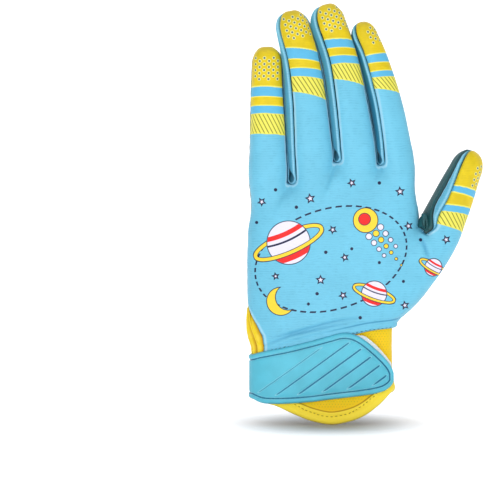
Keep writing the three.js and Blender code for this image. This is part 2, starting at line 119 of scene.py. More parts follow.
# Where each finger leaves the hand, at its left and right side, and the length of its rounded tip. A finger
# has a strip on the sides that face a neighbour, and puff is how far each strip bulges, at its base, middle
# and tip, on the left side and on the right.
FINGERS = {
    "little": {
        "rows": LITTLE, "dome": 11.0, "base": (124.0, 126.6), "strips": (False, True),
        "puff": ((0, 0, 0), (1.6, 1.8, 1.4)),
    },
    "ring": {
        "rows": RING, "dome": 12.4, "base": (126.6, 139.2), "strips": (True, True),
        "puff": ((2.4, 2.7, 1.7), (1.8, 2.0, 1.6)),
    },
    "middle": {
        "rows": MIDDLE, "dome": 12.2, "base": (139.2, 137.6), "strips": (True, True),
        "puff": ((2.4, 2.7, 3.8), (1.0, 0.6, 0.5)),
    },
    "index": {
        "rows": INDEX, "dome": 9.8, "base": (137.6, 133.0), "strips": (True, False),
        "puff": ((2.1, 0.9, 1.0), (0, 0, 0)),
    },
    "thumb": {
        "rows": THUMB, "dome": 12.2, "base": (97.0, 92.0), "strips": (True, False),
        "puff": ((0.0, 0.5, 0.5), (0, 0, 0)), "palm_seam": (-0.97, -0.3),
    },
}
PALM_RISE = 9.0  # how much higher the slits end on the palm side
HAND_FINGERS = ("little", "ring", "middle", "index")

# The hand's sections from the wrist hem up. Each slants up to the thumb and is measured at HAND_MIDDLE.
# edge is where the thumb's cloth joins, or the section's own right side where it doesn't.
HAND_COLUMNS = ("z", "left", "right", "y", "deep", "edge")
HAND = (
    (31, -39.7, 43.2, 0.0, 13.5, 43.2),
    (36.2, -40.4, 43.7, 0.0, 14.0, 43.7),
    (43, -41.2, 53.0, 0.0, 14.6, 46.4),
    (52, -42.3, 64.0, 0.0, 15.6, 48.8),
    (62, -43.0, 70.0, 0.0, 16.3, 51.2),
    (72, -43.3, 70.0, 0.0, 16.8, 53.2),
    (80, -43.3, 64.5, 0.0, 17.0, 54.4),
    (86, -43.3, 58.5, 0.0, 17.0, 55.6),
    (89, -43.3, 56.3, 0.0, 16.9, 56.3),
    (95, -43.2, 56.4, 0.0, 16.8, 56.4),
    (110, -42.8, 55.4, -0.6, 15.8, 55.4),
    (120, -42.4, 54.4, -1.4, 14.8, 54.4),
    (140, -42.2, 53.0, -2.0, 13.6, 53.0),
)
HAND_MIDDLE = 1.8
HAND_SLANT = 0.214
THUMB_JOIN = (35.0, 89.0)  # the sections between which the thumb's cloth joins
HEM_HEIGHT = 34.5  # of the wrist hem, on the section through the middle of the hand
HEM_DROP = 1.8  # how much lower the hem is at the thumb's side
CROTCH_RISE = 12.5  # how far the palm's cloth stands up between the hand and the thumb
JOIN_ROWS, TONGUE_ROWS = 20, 14
WEB_POINTS, WEB_SAG = 3, 1.3  # across the bottom of a slit
# how far down the hand a finger's form reaches, at its middle and by a slit, and that of a slit's bottom
FINGER_BLEND, SIDE_BLEND, WEB_BLEND = 26.0, 11.0, 9.0

# The slit at the little-finger side that the gusset fills: height and half width.
LEAF = ((24, 9.0), (30, 9.4), (36, 9.4), (43, 8.0), (50, 4.8), (56, 0.7), (57.4, 0.0), (300, 0.0))


def superellipse(angle, wide, deep):
    """Offsets across and through a section. Angle 0 is its left side, half a turn on is its right side."""
    cos, sin = np.cos(angle), np.sin(angle)
    power = 2 / SQUARENESS
    return -wide * np.sign(cos) * np.abs(cos) ** power, deep * np.sign(sin) * np.abs(sin) ** power


class Profile:
    """How far round a superellipse each angle lies, for one ratio of width to depth."""

    def __init__(self, ratio):
        self.angles = np.linspace(-math.pi / 2, 1.5 * math.pi, 2881)
        u, v = superellipse(self.angles, ratio, 1.0)
        run = np.concatenate([[0], np.cumsum(np.hypot(np.diff(u), np.diff(v)))])
        first, last = np.interp([0, math.pi], self.angles, run)
        self.shares = (run - first) / (last - first)

    def angle(self, share):
        return np.interp(share, self.shares, self.angles)

    def share(self, angle):
        return np.interp(angle, self.angles, self.shares)


ROUND = Profile(1.0)
FLAT = Profile(3.0)


def seam_angle(inset, deep):
    """The angle at which a section's side lies inset from its middle plane."""
    return np.arcsin(np.clip(inset / deep, 0, 0.98) ** (SQUARENESS / 2))


def catmull(rows, at):
    """Smooth values between the rows of a table, where at counts rows."""
    rows = np.asarray(rows, float)
    at = np.clip(np.asarray(at, float), 0, len(rows) - 1)
    i = np.minimum(at.astype(int), len(rows) - 2)
    t = (at - i)[..., None]
    p = [rows[np.clip(i + k, 0, len(rows) - 1)] for k in (-1, 0, 1, 2)]
    slope = 0.5 * (p[2] - p[0])
    bend = p[0] - 2.5 * p[1] + 2 * p[2] - 0.5 * p[3]
    twist = 0.5 * (p[3] - p[0]) + 1.5 * (p[1] - p[2])
    return p[1] + slope * t + bend * t**2 + twist * t**3


def smoothstep(low, high, value):
    """0 below low, 1 above high, and smooth between."""
    t = np.clip((value - low) / (high - low), 0, 1)
    return t * t * (3 - 2 * t)


def unit(vectors):
    return vectors / np.maximum(np.linalg.norm(vectors, axis=-1, keepdims=True), 1e-9)


def mix(a, b, t):
    return a + (b - a) * t


def bell(value, width):
    """1 at 0, falling off smoothly to both sides."""
    return np.exp(-((value / width) ** 2))


def plateau(value, middle, half):
    """1 over most of a band and 0 at both its edges."""
    return 1 - np.clip((value - middle) / half, -1, 1) ** 4


def along_path(points):
    """Millimetres along a path to each of its points."""
    return np.concatenate([[0], np.cumsum(np.linalg.norm(np.diff(points, axis=0), axis=1))])


def along_rows(grid):
    """Millimetres along its row to each point of a grid."""
    steps = np.linalg.norm(np.diff(grid, axis=1), axis=-1)
    return np.concatenate([np.zeros((len(grid), 1)), np.cumsum(steps, 1)], 1)


class Finger:
    """A finger's tube: points at a run along it, in millimetres from its first row, and round it."""

    def __init__(self, rows, dome, base, strips, puff, palm_seam=(1.0, 1.0)):
        self.dome, self.strips, self.puff, self.palm_seam = dome, strips, puff, palm_seam
        fine = np.linspace(0, len(rows) - 1, 40 * (len(rows) - 1) + 1)
        values = catmull(rows, fine)
        self.runs = along_path(values[:, :3])
        self.values = values
        self.tangents = unit(np.gradient(values[:, :3], self.runs, axis=0))
        self.length = self.runs[-1]
        self.end = self.length + dome * math.pi / 2
        self.base = {FRONT: [self.run_at_height(z, side) for z, side in zip(base, (-1, 1))]}
        self.palm_rise = PALM_RISE if palm_seam[0] > 0 else 0.0
        self.base[PALM] = [run + self.palm_rise * strip for run, strip in zip(self.base[FRONT], strips)]

    def look(self, run):
        """Every column of the table at a run, with the section's axes and how far the tip has closed."""
        beyond = np.clip(run - self.length, 0, self.dome * math.pi / 2)
        inside = np.clip(run, 0, self.length)
        row = {n: np.interp(inside, self.runs, self.values[:, i]) for i, n in enumerate(FINGER_COLUMNS)}
        along = np.stack([np.interp(inside, self.runs, self.tangents[:, i]) for i in range(3)], -1)
        along = unit(along)
        centre = np.stack([row["x"], row["y"], row["z"]], -1)
        centre = centre + along * (self.dome * np.sin(beyond / self.dome))[..., None]
        centre = centre + along * np.minimum(run, 0)[..., None]
        level = unit(np.stack([along[..., 2], 0 * along[..., 0], -along[..., 0]], -1))
        inward = np.cross(along, level)
        turn = np.radians(row["turn"])[..., None]
        across = level * np.cos(turn) + inward * np.sin(turn)
        inward = inward * np.cos(turn) - level * np.sin(turn)
        shrink = np.maximum(np.cos(beyond / self.dome), 0) ** 0.85
        row["strip"] = row["strip"] * shrink**1.6
        return row, centre, along, across, inward, shrink

    def seam(self, run, side, face=FRONT):
        """How far round from the section's side the back's or the palm's seam lies, as an angle."""
        row, *_, shrink = self.look(run)
        if not self.strips[0 if side < 0 else 1]:
            return np.zeros_like(row["strip"])
        share = 1.0
        if face == PALM:
            start = self.base[FRONT][0]
            share = mix(*self.palm_seam, smoothstep(2, 20, np.asarray(run) - start))
        angle = seam_angle(row["strip"] * np.abs(share), np.maximum(row["deep"] * shrink, 0.05))
        return angle * np.sign(share)

    def point(self, run, angle, face):
        """A point at an angle round the section, on the back or palm face."""
        row, centre, _, across, inward, shrink = self.look(run)
        u, v = superellipse(angle, row["wide"] * shrink, row["deep"] * shrink)
        return centre + across * u[..., None] + inward * (face * v)[..., None]

    def run_at_height(self, z, side):
        runs = np.linspace(0, self.length, 400)
        angle = self.seam(runs, side) if side < 0 else math.pi - self.seam(runs, side)
        heights = self.point(runs, angle, FRONT)[:, 2]
        return float(np.interp(z, heights, runs))

    def face_point(self, run, place, face):
        """A point on the back or palm panel. place runs from -1, its left seam, to 1, its right seam."""
        left = ROUND.share(self.seam(run, -1, face))
        right = ROUND.share(math.pi - self.seam(run, 1, face))
        return self.point(run, ROUND.angle(mix(left, right, (place + 1) / 2)), face)

    def side_point(self, run, place, side):
        """A point on a side strip. place runs from 0, the back panel's seam, to 1, the palm's."""
        inset = mix(self.seam(run, side), -self.seam(run, side, PALM), place)
        angle = inset if side < 0 else math.pi - inset
        row, centre, _, across, inward, shrink = self.look(run)
        u, v = superellipse(angle, row["wide"] * shrink, row["deep"] * shrink)
        base = self.base[FRONT][0 if side < 0 else 1]
        up = np.clip((run - base) / (self.length - base), 0, 1)
        puff = np.interp(up, (0, 0.5, 1), self.puff[0 if side < 0 else 1])
        puff = puff * smoothstep(0, 5, run - base - self.palm_rise * place) * shrink
        peak = 0.38 if side < 0 else 0.68
        bent = np.where(place < peak, place / peak, (1 - place) / (1 - peak))
        u = u + side * puff * np.sin(bent * math.pi / 2) ** 1.2
        return centre + across * u[..., None] - inward * v[..., None]


TUBES = {name: Finger(**spec) for name, spec in FINGERS.items()}


def seam_places(count, half_arc):
    """Places from -1 to 1 over a panel, close together by its seams."""
    near = np.array([0.0, 0.22, 0.5, 0.9, 1.45]) / half_arc
    left, right = -1 + near, 1 - near[::-1]
    return np.concatenate([left, np.linspace(left[-1], right[0], count)[1:-1], right])


FINGER_PLACES = seam_places(25, 15.0)


def slanted(z, x):
    """The height at x of the section that is z high at the middle of the hand."""
    return z + HAND_SLANT * (x - HAND_MIDDLE)


def hand_row(z):
    """Every column of the hand's table on the sections at z."""
    table = np.array(HAND, float)
    return {n: np.interp(z, table[:, 0], table[:, i]) for i, n in enumerate(HAND_COLUMNS)}


def leaf_half(height):
    """Half the width of the gusset's slit at a height."""
    heights, halves = np.array(LEAF, float).T
    return np.interp(height, heights, halves)


def hand_point(z, share, face):
    """A point of the hand on the section at z. share runs from the little-finger side to the edge."""
    row = hand_row(z)
    wide, centre = (row["right"] - row["left"]) / 2, (row["right"] + row["left"]) / 2
    first = FLAT.share(seam_angle(leaf_half(slanted(z, row["left"])), row["deep"]))
    edge = np.clip((row["edge"] - centre) / wide, 0, 1)
    last = FLAT.share(math.pi - np.arccos(edge ** (SQUARENESS / 2)))
    angle = FLAT.angle(mix(first, last, share))
    u, v = superellipse(angle, wide, row["deep"])
    x = centre + u
    return np.stack([x, row["y"] + face * v, slanted(z, x)], -1)


def new_piece(name, points, faces):
    """A smooth mesh in the scene, from points in metres."""
    mesh = bpy.data.meshes.new(name)
    mesh.from_pydata(points.tolist(), [], faces)
    mesh.polygons.foreach_set("use_smooth", np.ones(len(faces), bool))
    mesh.update()
    piece = bpy.data.objects.new(name, mesh)
    bpy.context.scene.collection.objects.link(piece)
    return piece


class Cloth:
    """Grids of points with values at each point, sewn where they meet into one sheet with a thickness."""

    def __init__(self):
        self.points, self.faces, self.values, self.count = [], [], [], 0

    def add(self, grid, values, flip=False):
        """Adds a grid of points with its values, each a number or a grid of numbers."""
        rows, columns = grid.shape[:2]
        index = np.arange(rows * columns).reshape(rows, columns) + self.count
        quads = np.stack([index[:-1, :-1], index[:-1, 1:], index[1:, 1:], index[1:, :-1]], -1).reshape(-1, 4)
        self.faces.append(quads[:, ::-1] if flip else quads)
        self.points.append(grid.reshape(-1, 3))
        self.values.append({k: np.broadcast_to(v, (rows, columns)).reshape(-1) for k, v in values.items()})
        self.count += rows * columns

    def sew(self):
        """Joins the points that lie together, and drops the faces that this flattens."""
        points = np.concatenate(self.points)
        faces = np.concatenate(self.faces)
        names = sorted({k for v in self.values for k in v})
        values = {
            k: np.concatenate([v.get(k, np.zeros(len(p))) for v, p in zip(self.values, self.points)])
            for k in names
        }
        keys = np.round(points * 500).astype(np.int64)
        _, first, inverse = np.unique(keys, axis=0, return_index=True, return_inverse=True)
        self.co = points[first]
        self.val = {k: v[first] for k, v in values.items()}
        quads = inverse.reshape(-1)[faces]
        same = quads == np.roll(quads, -1, axis=1)
        self.quads = quads[same.sum(1) == 0]
        bent = quads[same.sum(1) == 1]
        keep = ~same[same.sum(1) == 1]
        self.triangles = bent[keep].reshape(-1, 3)
        return self

    def settle(self):
        """Sews the grids, and keeps the directions out that reliefs are pressed along."""
        self.sew()
        self.out = self.normals()

    def press(self, rise):
        """Moves each point out by its own rise."""
        self.co = self.co + self.out * rise[:, None]
        return self

    def edges(self):
        rings = [self.quads, self.triangles]
        return np.concatenate([np.stack([r, np.roll(r, -1, 1)], -1).reshape(-1, 2) for r in rings])

    def border(self):
        """The directed edges that only one face uses."""
        edges = self.edges()
        ordered = np.sort(edges, axis=1)
        _, inverse, counts = np.unique(ordered, axis=0, return_inverse=True, return_counts=True)
        return edges[counts[inverse.reshape(-1)] == 1]

    def normals(self):
        """Each point's direction out of the sheet."""
        total = np.zeros_like(self.co)
        for ring in (self.quads, self.triangles):
            if len(ring) == 0:
                continue
            a, b = self.co[ring[:, 0]], self.co[ring[:, 1]]
            c, d = self.co[ring[:, 2]], self.co[ring[:, -1]]
            normal = np.cross(c - a, d - b) if ring.shape[1] == 4 else np.cross(b - a, c - a)
            for i in range(ring.shape[1]):
                np.add.at(total, ring[:, i], normal)
        return unit(total)

    def relax(self, weight, rounds):
        """Moves each point part of the way to the middle of its neighbours."""
        edges = self.edges()
        both = np.concatenate([edges, edges[:, ::-1]])
        held = np.ones(len(self.co))
        held[np.unique(self.border())] = 0
        amount = (weight * held)[:, None]
        counts = np.bincount(both[:, 0], minlength=len(self.co))[:, None]
        for _ in range(rounds):
            far = self.co[both[:, 1]]
            total = np.stack([np.bincount(both[:, 0], far[:, i], len(self.co)) for i in range(3)], 1)
            self.co = self.co + amount * (total / np.maximum(counts, 1) - self.co)

    def mesh(self, name, wall):
        """The sheet as a closed mesh, its inner face set in by the wall."""
        inner = self.co - self.normals() * wall
        n = len(self.co)
        border = self.border()
        faces = self.quads.tolist() + self.triangles.tolist()
        faces += (self.quads[:, ::-1] + n).tolist() + (self.triangles[:, ::-1] + n).tolist()
        faces += np.stack([border[:, 1], border[:, 0], border[:, 0] + n, border[:, 1] + n], 1).tolist()
        piece = new_piece(name, np.concatenate([self.co, inner]) * MM, faces)
        for key, value in self.val.items():
            attribute = piece.data.attributes.new(key, "FLOAT", "POINT")
            attribute.data.foreach_set("value", np.concatenate([value, value]).astype(np.float32))
        return piece


def noise(points, scale, seed, octaves=2):
    """Soft random waves through space, from a fixed set of directions."""
    rng = np.random.default_rng(seed)
    total = np.zeros(len(points))
    for octave in range(octaves):
        for _ in range(6):
            direction = unit(rng.normal(size=3)) * (2 * math.pi / scale) * 1.9**octave
            total += np.sin(points @ direction + rng.uniform(0, 2 * math.pi)) / 1.9**octave
    return total / 6


def seam_distance(grid):
    """Millimetres from each point of a grid to the nearer end of its row, where a seam is."""
    run = along_rows(grid)
    return np.minimum(run, run[:, -1:] - run)


def finger_grid(name, face, places):
    """A finger's back or palm from where it leaves the hand to its tip, with runs for its print."""
    tube = TUBES[name]
    left, right = tube.base[face]
    count = int((tube.end - min(left, right)) / FINE) + 1
    base = mix(left, right, (places + 1) / 2)
    runs = mix(base[None], tube.end, np.linspace(0, 1, count)[:, None])
    grid = tube.face_point(runs, np.broadcast_to(places, runs.shape), face)
    grid[-1] = grid[-1].mean(0)
    return grid, runs


def web(name, after, face):
    """The panel's edge across the bottom of the slit between two fingers, ends left out."""
    start = TUBES[name].face_point(np.array(TUBES[name].base[face][1]), np.array(1.0), face)
    end = TUBES[after].face_point(np.array(TUBES[after].base[face][0]), np.array(-1.0), face)
    t = np.linspace(0, 1, WEB_POINTS + 2)[1:-1, None]
    return mix(start, end, t) - np.array([0, 0, WEB_SAG]) * 4 * t * (1 - t)


def hand_top():
    """Column groups across the top of the hand: each finger's places, and None for the webs between."""
    groups = []
    for name in HAND_FINGERS:
        groups += [(name, FINGER_PLACES), (None, np.linspace(0, 1, WEB_POINTS + 2)[1:-1])]
    return groups[:-1]


def hand_grid(face):
    """The hand from the wrist hem to the fingers. Its columns run on into the fingers' own."""
    groups = hand_top()
    top, owner = [], []
    for i, (name, places) in enumerate(groups):
        if name:
            tube = TUBES[name]
            runs = mix(*tube.base[face], (places + 1) / 2)
            top.append(tube.face_point(runs, places, face))
        else:
            top.append(web(groups[i - 1][0], groups[i + 1][0], face))
        owner += [i] * len(places)
    top, owner = np.concatenate(top), np.array(owner)
    steps = np.linalg.norm(np.diff(top, axis=0), axis=1)
    share = np.concatenate([[0], np.cumsum(steps)]) / steps.sum()
    flat_top = top[:, 2] - HAND_SLANT * (top[:, 0] - HAND_MIDDLE)
    hem = HEM_HEIGHT - HEM_DROP * smoothstep(0.72, 0.98, share)
    hem = hem - 2.6 * (1 - smoothstep(0.05, 0.45, share))
    rows = int((flat_top.mean() - HEM_HEIGHT) / FINE) + 1
    rise = np.linspace(0, 1, rows)[:, None]
    z = mix(hem[None], flat_top[None], rise)
    grid = hand_point(z, np.broadcast_to(share, z.shape), face)
    below = flat_top[None] - z
    for i, (name, places) in enumerate(groups):
        mine = owner == i
        if name:
            tube = TUBES[name]
            base = mix(*tube.base[face], (places + 1) / 2)
            runs = base[None] - below[:, mine]
            aim = tube.face_point(runs, np.broadcast_to(places, runs.shape), face)
            side = np.where(places < 0, i > 0, i + 1 < len(groups))
            reach = mix(FINGER_BLEND, SIDE_BLEND, np.abs(places) ** 2 * side)
        else:
            aim = top[None, mine] - np.array([0, 0, 1.0]) * below[:, mine][..., None]
            reach = WEB_BLEND
        weight = (1 - smoothstep(0, 1, below[:, mine] / reach))[..., None]
        grid[:, mine] = mix(grid[:, mine], aim, weight)
    return grid, z, below, owner


def thumb_rows(z_edge):
    """The hand's first and last row that the thumb's cloth joins."""
    inside = np.nonzero((z_edge >= THUMB_JOIN[0]) & (z_edge <= THUMB_JOIN[1]))[0]
    return inside[0], inside[-1]


def thumb_join(hand, z, face):
    """The cloth between the hand's edge and the thumb's first section, and that section's places."""
    low, high = thumb_rows(z[:, -1])
    start = hand[low : high + 1, -1][::-1]
    reach = np.linalg.norm(np.diff(start, axis=0), axis=1)
    down = np.concatenate([[0], np.cumsum(reach)]) / reach.sum()
    places = -1 + 2 * down
    tube = TUBES["thumb"]
    runs = mix(*tube.base[face], down)
    end = tube.face_point(runs, places, face)
    span = np.linalg.norm(end - start, axis=1)[:, None]
    leave = unit(mix(np.array([1.0, -0.05 * face, 0.1]), np.array([0.78, 0.0, 0.62]), down[:, None]))
    arrive = tube.look(runs)[2]
    t = np.linspace(0, 1, JOIN_ROWS)[:, None, None]
    grid = (
        (2 * t**3 - 3 * t**2 + 1) * start
        + (t**3 - 2 * t**2 + t) * leave * span * 1.1
        + (3 * t**2 - 2 * t**3) * end
        + (t**3 - t**2) * arrive * span * 1.1
    )
    if face == PALM:
        lift = CROTCH_RISE * np.sin(math.pi * t[..., 0] ** 1.7)
        grid[..., 2] += lift * (1 - smoothstep(0, 0.3, down))
    return grid, places


def crotch_tongue():
    """The palm's cloth coming over the crotch and down in front to the back's edge."""
    edges = []
    for face in (FRONT, PALM):
        hand, z, *_ = hand_grid(face)
        edges.append(thumb_join(hand, z, face)[0][:, 0])
    t = np.linspace(0, 1, TONGUE_ROWS)[:, None, None]
    grid = mix(edges[0][None], edges[1][None], t)
    grid[..., 1] -= 1.2 * np.sin(math.pi * t[..., 0])
    return grid


# Heights of the print's borders on each finger, at its left and right edge: the yellow tip's end, the blue
# band's, the yellow band's, the second blue band's and the hatched block's.
PRINT = {
    "little": ((180.4, 175.4, 169.6, 165.6, 153.4), (180.4, 175.4, 169.6, 165.6, 152.8)),
    "ring": ((203.6, 197.8, 191.7, 187.6, 178.6), (200.7, 195.5, 190.5, 185.6, 172.8)),
    "middle": ((208.0, 203.6, 198.6, 194.5, 185.9), (208.0, 203.6, 198.6, 194.5, 181.0)),
    "index": ((198.9, 195.1, 189.7, 186.8, 180.4), (200.3, 195.3, 189.9, 186.8, 175.2)),
    "thumb": ((124.1, 121.4, 113.1, 110.0, 102.1), (117.2, 113.6, 107.9, 104.4, 93.1)),
}
# The patch of dots on each tip, in millimetres: where it starts and ends below the tip, its half width, and
# how far it lies towards the thumb.
DOTS = {
    "little": (6.6, 20.2, 8.0, 0.6),
    "ring": (4.0, 18.6, 8.0, 0.8),
    "middle": (3.6, 16.4, 7.4, 1.0),
    "index": (5.2, 15.4, 5.4, 1.6),
    "thumb": (6.5, 21.0, 4.4, 3.0),
}
# How far the borders arch up at a finger's middle, degrees from the finger's own line to its hatching's, and
# the spacing of the hatching.
ARCH = {"little": 1.0, "ring": 1.2, "middle": 1.2, "index": 1.2, "thumb": 0.8}
HATCH_TURN = {"little": 27, "ring": 24, "middle": 20, "index": 27, "thumb": 54}
HATCH_STEP = 2.1


def print_values(name, grid, places):
    """What the shader draws a finger's print by: band, millimetres across and down, dots and hatching."""
    left, right = (np.array(side) for side in PRINT[name])
    t = (places[None] + 1) / 2
    arch = ARCH[name] * (1 - places[None] ** 2)
    heights = [mix(a, b, t) + arch for a, b in zip(left, right)]
    z = grid[..., 2]
    top = z.max() + 0 * z
    knots = [top] + [h + 0 * z for h in heights] + [heights[-1] - 30 + 0 * z]
    marks = (0.0, 1.0, 2.0, 3.0, 4.0, 5.0, BARE)
    band = np.full(z.shape, marks[-1])
    for i in range(len(knots) - 1):
        inside = (z <= knots[i]) & (z > knots[i + 1])
        t_in = (knots[i] - z) / np.maximum(knots[i] - knots[i + 1], 1e-6)
        band = np.where(inside, mix(marks[i], marks[i + 1], t_in), band)
    run = along_rows(grid)
    middle = int(np.argmin(np.abs(places)))
    across = run - run[:, middle : middle + 1]
    climb = np.linalg.norm(np.diff(grid[:, middle], axis=0), axis=1)
    down = np.concatenate([np.cumsum(climb[::-1])[::-1], [0]])[:, None] + 0 * z
    axis = TUBES[name].tangents[-1][[0, 2]]
    far = grid[..., [0, 2]] @ (axis / np.linalg.norm(axis))
    fall = far.max() - far
    start, end, half, aside = DOTS[name]
    spread = {"dots_from": start, "dots_to": end, "dots_half": half}
    turn = math.radians(HATCH_TURN[name])
    hatch = (down * math.sin(turn) - across * math.cos(turn)) / HATCH_STEP
    return {"band": band, "across": across - aside, "down": down, "fall": fall, "hatch": hatch, **spread}


def slit_distance(hand, groups, owner):
    """Millimetres from each point of the hand to the nearest slit's end."""
    far = np.full(hand.shape[:2], FAR)
    for i, (name, _) in enumerate(groups):
        if name:
            continue
        columns = np.nonzero(owner == i)[0]
        rim = hand[-1, columns[0] - 1 : columns[-1] + 2]
        rim = np.concatenate([mix(a, b, np.linspace(0, 1, 5)[:-1, None]) for a, b in zip(rim[:-1], rim[1:])])
        for point in rim:
            far = np.minimum(far, np.linalg.norm(hand - point, axis=-1))
    return far


def panel(face):
    """The back or the palm as one sheet: hand, four fingers and thumb."""
    cloth = Cloth()
    flip = face == PALM

    def add_tube(name, places, blend):
        grid, runs = finger_grid(name, face, places)
        fade = 1 - smoothstep(0, blend, runs - np.mean(TUBES[name].base[face]))
        values = {"relax": 0.9 * fade, "seam": seam_distance(grid), "hem": BEYOND}
        cloth.add(grid, values | print_values(name, grid, places), flip)

    hand, z, below, owner = hand_grid(face)
    groups = hand_top()
    low, high = thumb_rows(z[:, -1])
    seam = seam_distance(hand)
    seam[low : high + 1, seam.shape[1] // 2 :] = FAR
    edge = np.linalg.norm(hand - hand[:, -1:], axis=-1)
    level = np.arange(len(z))
    near_join = (1 - smoothstep(4, 16, edge)) * smoothstep(low, low + 8, level)[:, None]
    near_join = near_join * (1 - smoothstep(high - 3, high + 3, level))[:, None]
    knuckle = (1 - smoothstep(18, 34, below)) * 0.9
    values = {
        "relax": np.maximum(knuckle, near_join),
        "seam": np.minimum(seam, slit_distance(hand, groups, owner)),
        "band": BARE,
        "down": BEYOND,
        "hem": z - z[:1],
    }
    cloth.add(hand, values, flip)
    for name, places in groups:
        if name:
            add_tube(name, places, 10)
    join, places = thumb_join(hand, z, face)
    plain = {"band": BARE, "down": BEYOND, "hem": BEYOND}
    cloth.add(join, {"relax": 0.9, "seam": seam_distance(join), **plain}, flip)
    if face == PALM:
        tongue = crotch_tongue()
        cloth.add(tongue, {"seam": seam_distance(tongue), **plain})
    add_tube("thumb", places, 12)
    cloth.sew()
    cloth.relax(cloth.val.pop("relax") * 0.6, 24)
    return cloth


def shape(cloth, seed, curl=0.8, wave=0.22, pucker=0.16, reach=1.0):
    """Gives a sewn sheet its cloth form: edges rolled in at seams, puckers beside them and soft waves."""
    seam = cloth.val["seam"]
    tip = smoothstep(0.5, 4.5, cloth.val["down"])
    rolled = -curl * bell(seam, 0.75 * reach) + 0.22 * bell(seam - 1.9, 0.9)
    puckers = pucker * bell(seam, 4.0) * noise(cloth.co, 5.5, seed + 1, 1)
    cloth.base, cloth.out = cloth.co.copy(), cloth.normals()
    return cloth.press(rolled * tip + wave * noise(cloth.co, 34, seed) + puckers)


def crease(cloth, path, depth, width):
    """Presses a soft fold into a sheet along a path in the front view, fading out at its ends."""
    path = np.array(path, float)
    start, end = path[:-1], path[1:]
    lengths = np.linalg.norm(end - start, axis=1)
    marks = np.concatenate([[0], np.cumsum(lengths)])
    flat = cloth.co[:, [0, 2]]
    near = np.nonzero(np.linalg.norm(flat - path.mean(0), axis=1) < marks[-1] + 4 * width)[0]
    point = flat[near][:, None]
    t = np.clip(((point - start) * (end - start)).sum(-1) / lengths**2, 0, 1)
    gap = np.linalg.norm(point - (start + (end - start) * t[..., None]), axis=-1)
    best = gap.argmin(1)
    rows = np.arange(len(near))
    gap, run = gap[rows, best], (marks[best] + t[rows, best] * lengths[best]) / marks[-1]
    fade = np.sin(np.clip(run, 0, 1) * math.pi) ** 0.6
    form = -bell(gap, width) + 0.45 * bell(gap - 1.9 * width, width)
    cloth.co[near] += cloth.out[near] * (depth * fade * form)[:, None]
    # fold marks each crease's middle, where print_cloth paints shade.
    fold = cloth.val["fold"]
    fold[near] = np.maximum(fold[near], fade * bell(gap, 0.7 * width))


def hem_fold(cloth):
    """The hem turned in at the wrist: a thick band with a groove above it."""
    hem = cloth.val["hem"]
    edge = -0.8 * bell(hem, 0.7)
    band = 0.42 * plateau(hem, 2.4, 2.2) * (hem < 4.6)
    groove = -0.3 * bell(hem - 5.1, 0.6)
    fold = 0.3 * bell(hem - 7.0, 1.2) * smoothstep(-30, -8, cloth.base[:, 0])
    cloth.press(edge + band + groove + fold)


def back_creases(cloth):
    """Folds at the thumb's crotch and over the wrist."""
    paths = (
        (((57, 95), (59.5, 89), (62, 81)), 0.5, 1.5),
        (((56, 99), (60, 97), (64, 96)), 0.5, 0.9),
        (((-35, 31), (-18, 38), (2.5, 42.5), (18, 45.4)), 1.0, 0.9),
        (((-30, 36), (-8, 42), (8, 46), (22, 48)), 0.8, 0.9),
    )
    cloth.val["fold"] = np.zeros(len(cloth.co))
    for path, depth, width in paths:
        crease(cloth, path, depth, width)


# Places across a side strip, how far it sags at a slit's bottom, and how much of the left side's painted
# shade a slit's right side has, by the finger on its left.
STRIP_COLUMNS = np.array([0, 0.025, 0.06, 0.11, 0.19, 0.3, 0.43, 0.57, 0.7, 0.81, 0.89, 0.94, 0.975, 1.0])
STRIP_SAG = 1.6
UP_SHADE = {"little": 0.45, "ring": 0.6, "middle": 0.9}


def strip_rows(name, side):
    """A strip's rows on one side of a finger, from where it leaves the hand to the tip."""
    tube = TUBES[name]
    front, back = (tube.base[face][0 if side < 0 else 1] for face in (FRONT, PALM))
    count = int((tube.end - front) / FINE) + 1
    runs = mix(mix(front, back, STRIP_COLUMNS)[None], tube.end, np.linspace(0, 1, count)[:, None])
    grid = tube.side_point(runs, STRIP_COLUMNS[None] + 0 * runs, side)
    grid[-1] = grid[-1].mean(0)
    return grid, tube.end - runs


def side_strip(name, after):
    """The strip between two fingers: down the side of one, round the bottom of the slit and up the other."""
    cloth = Cloth()
    down, down_runs = strip_rows(name, 1)
    up, up_runs = strip_rows(after, -1)
    front, back = web(name, after, FRONT), web(name, after, PALM)
    bottom = mix(front[:, None], back[:, None], STRIP_COLUMNS[None, :, None])
    sag = 4 * STRIP_COLUMNS * (1 - STRIP_COLUMNS)
    bottom[..., 2] -= STRIP_SAG * sag[None]
    grid = np.concatenate([down[::-1], bottom, up])
    runs = np.concatenate([down_runs[::-1], np.full(bottom.shape[:2], FAR), up_runs])
    tops = [TUBES[n].look(np.array(TUBES[n].end))[1][2] for n in (after, name)]
    reach = np.concatenate([np.full(len(down), tops[0]), np.full(len(bottom) + len(up), tops[1])])
    lean = np.concatenate([np.ones(len(down)), np.linspace(1, 0, len(bottom)), np.zeros(len(up))])[:, None]
    seam = seam_distance(grid)
    # between is painted shade between two fingers: full where the neighbour stands beside the strip, gone
    # above
    # its tip and by the seams, weaker on the slit's right side. lean is 1 on the slit's left side and 0 on
    # its right.
    between = mix(UP_SHADE[name], 1.0, lean) * (1 - smoothstep(-7, 0, grid[..., 2] - reach[:, None]))
    between = between * smoothstep(-2.0 * lean, 2.6 - 1.6 * lean, seam)
    cloth.add(grid, {"seam": seam, "down": runs, "between": between, "lean": lean + 0 * seam}, flip=True)
    return cloth.sew()


def thumb_strip():
    """The narrow strip on the thumb's inner side."""
    cloth = Cloth()
    grid, runs = strip_rows("thumb", -1)
    cloth.add(grid, {"seam": seam_distance(grid), "down": runs}, flip=True)
    return cloth.sew()


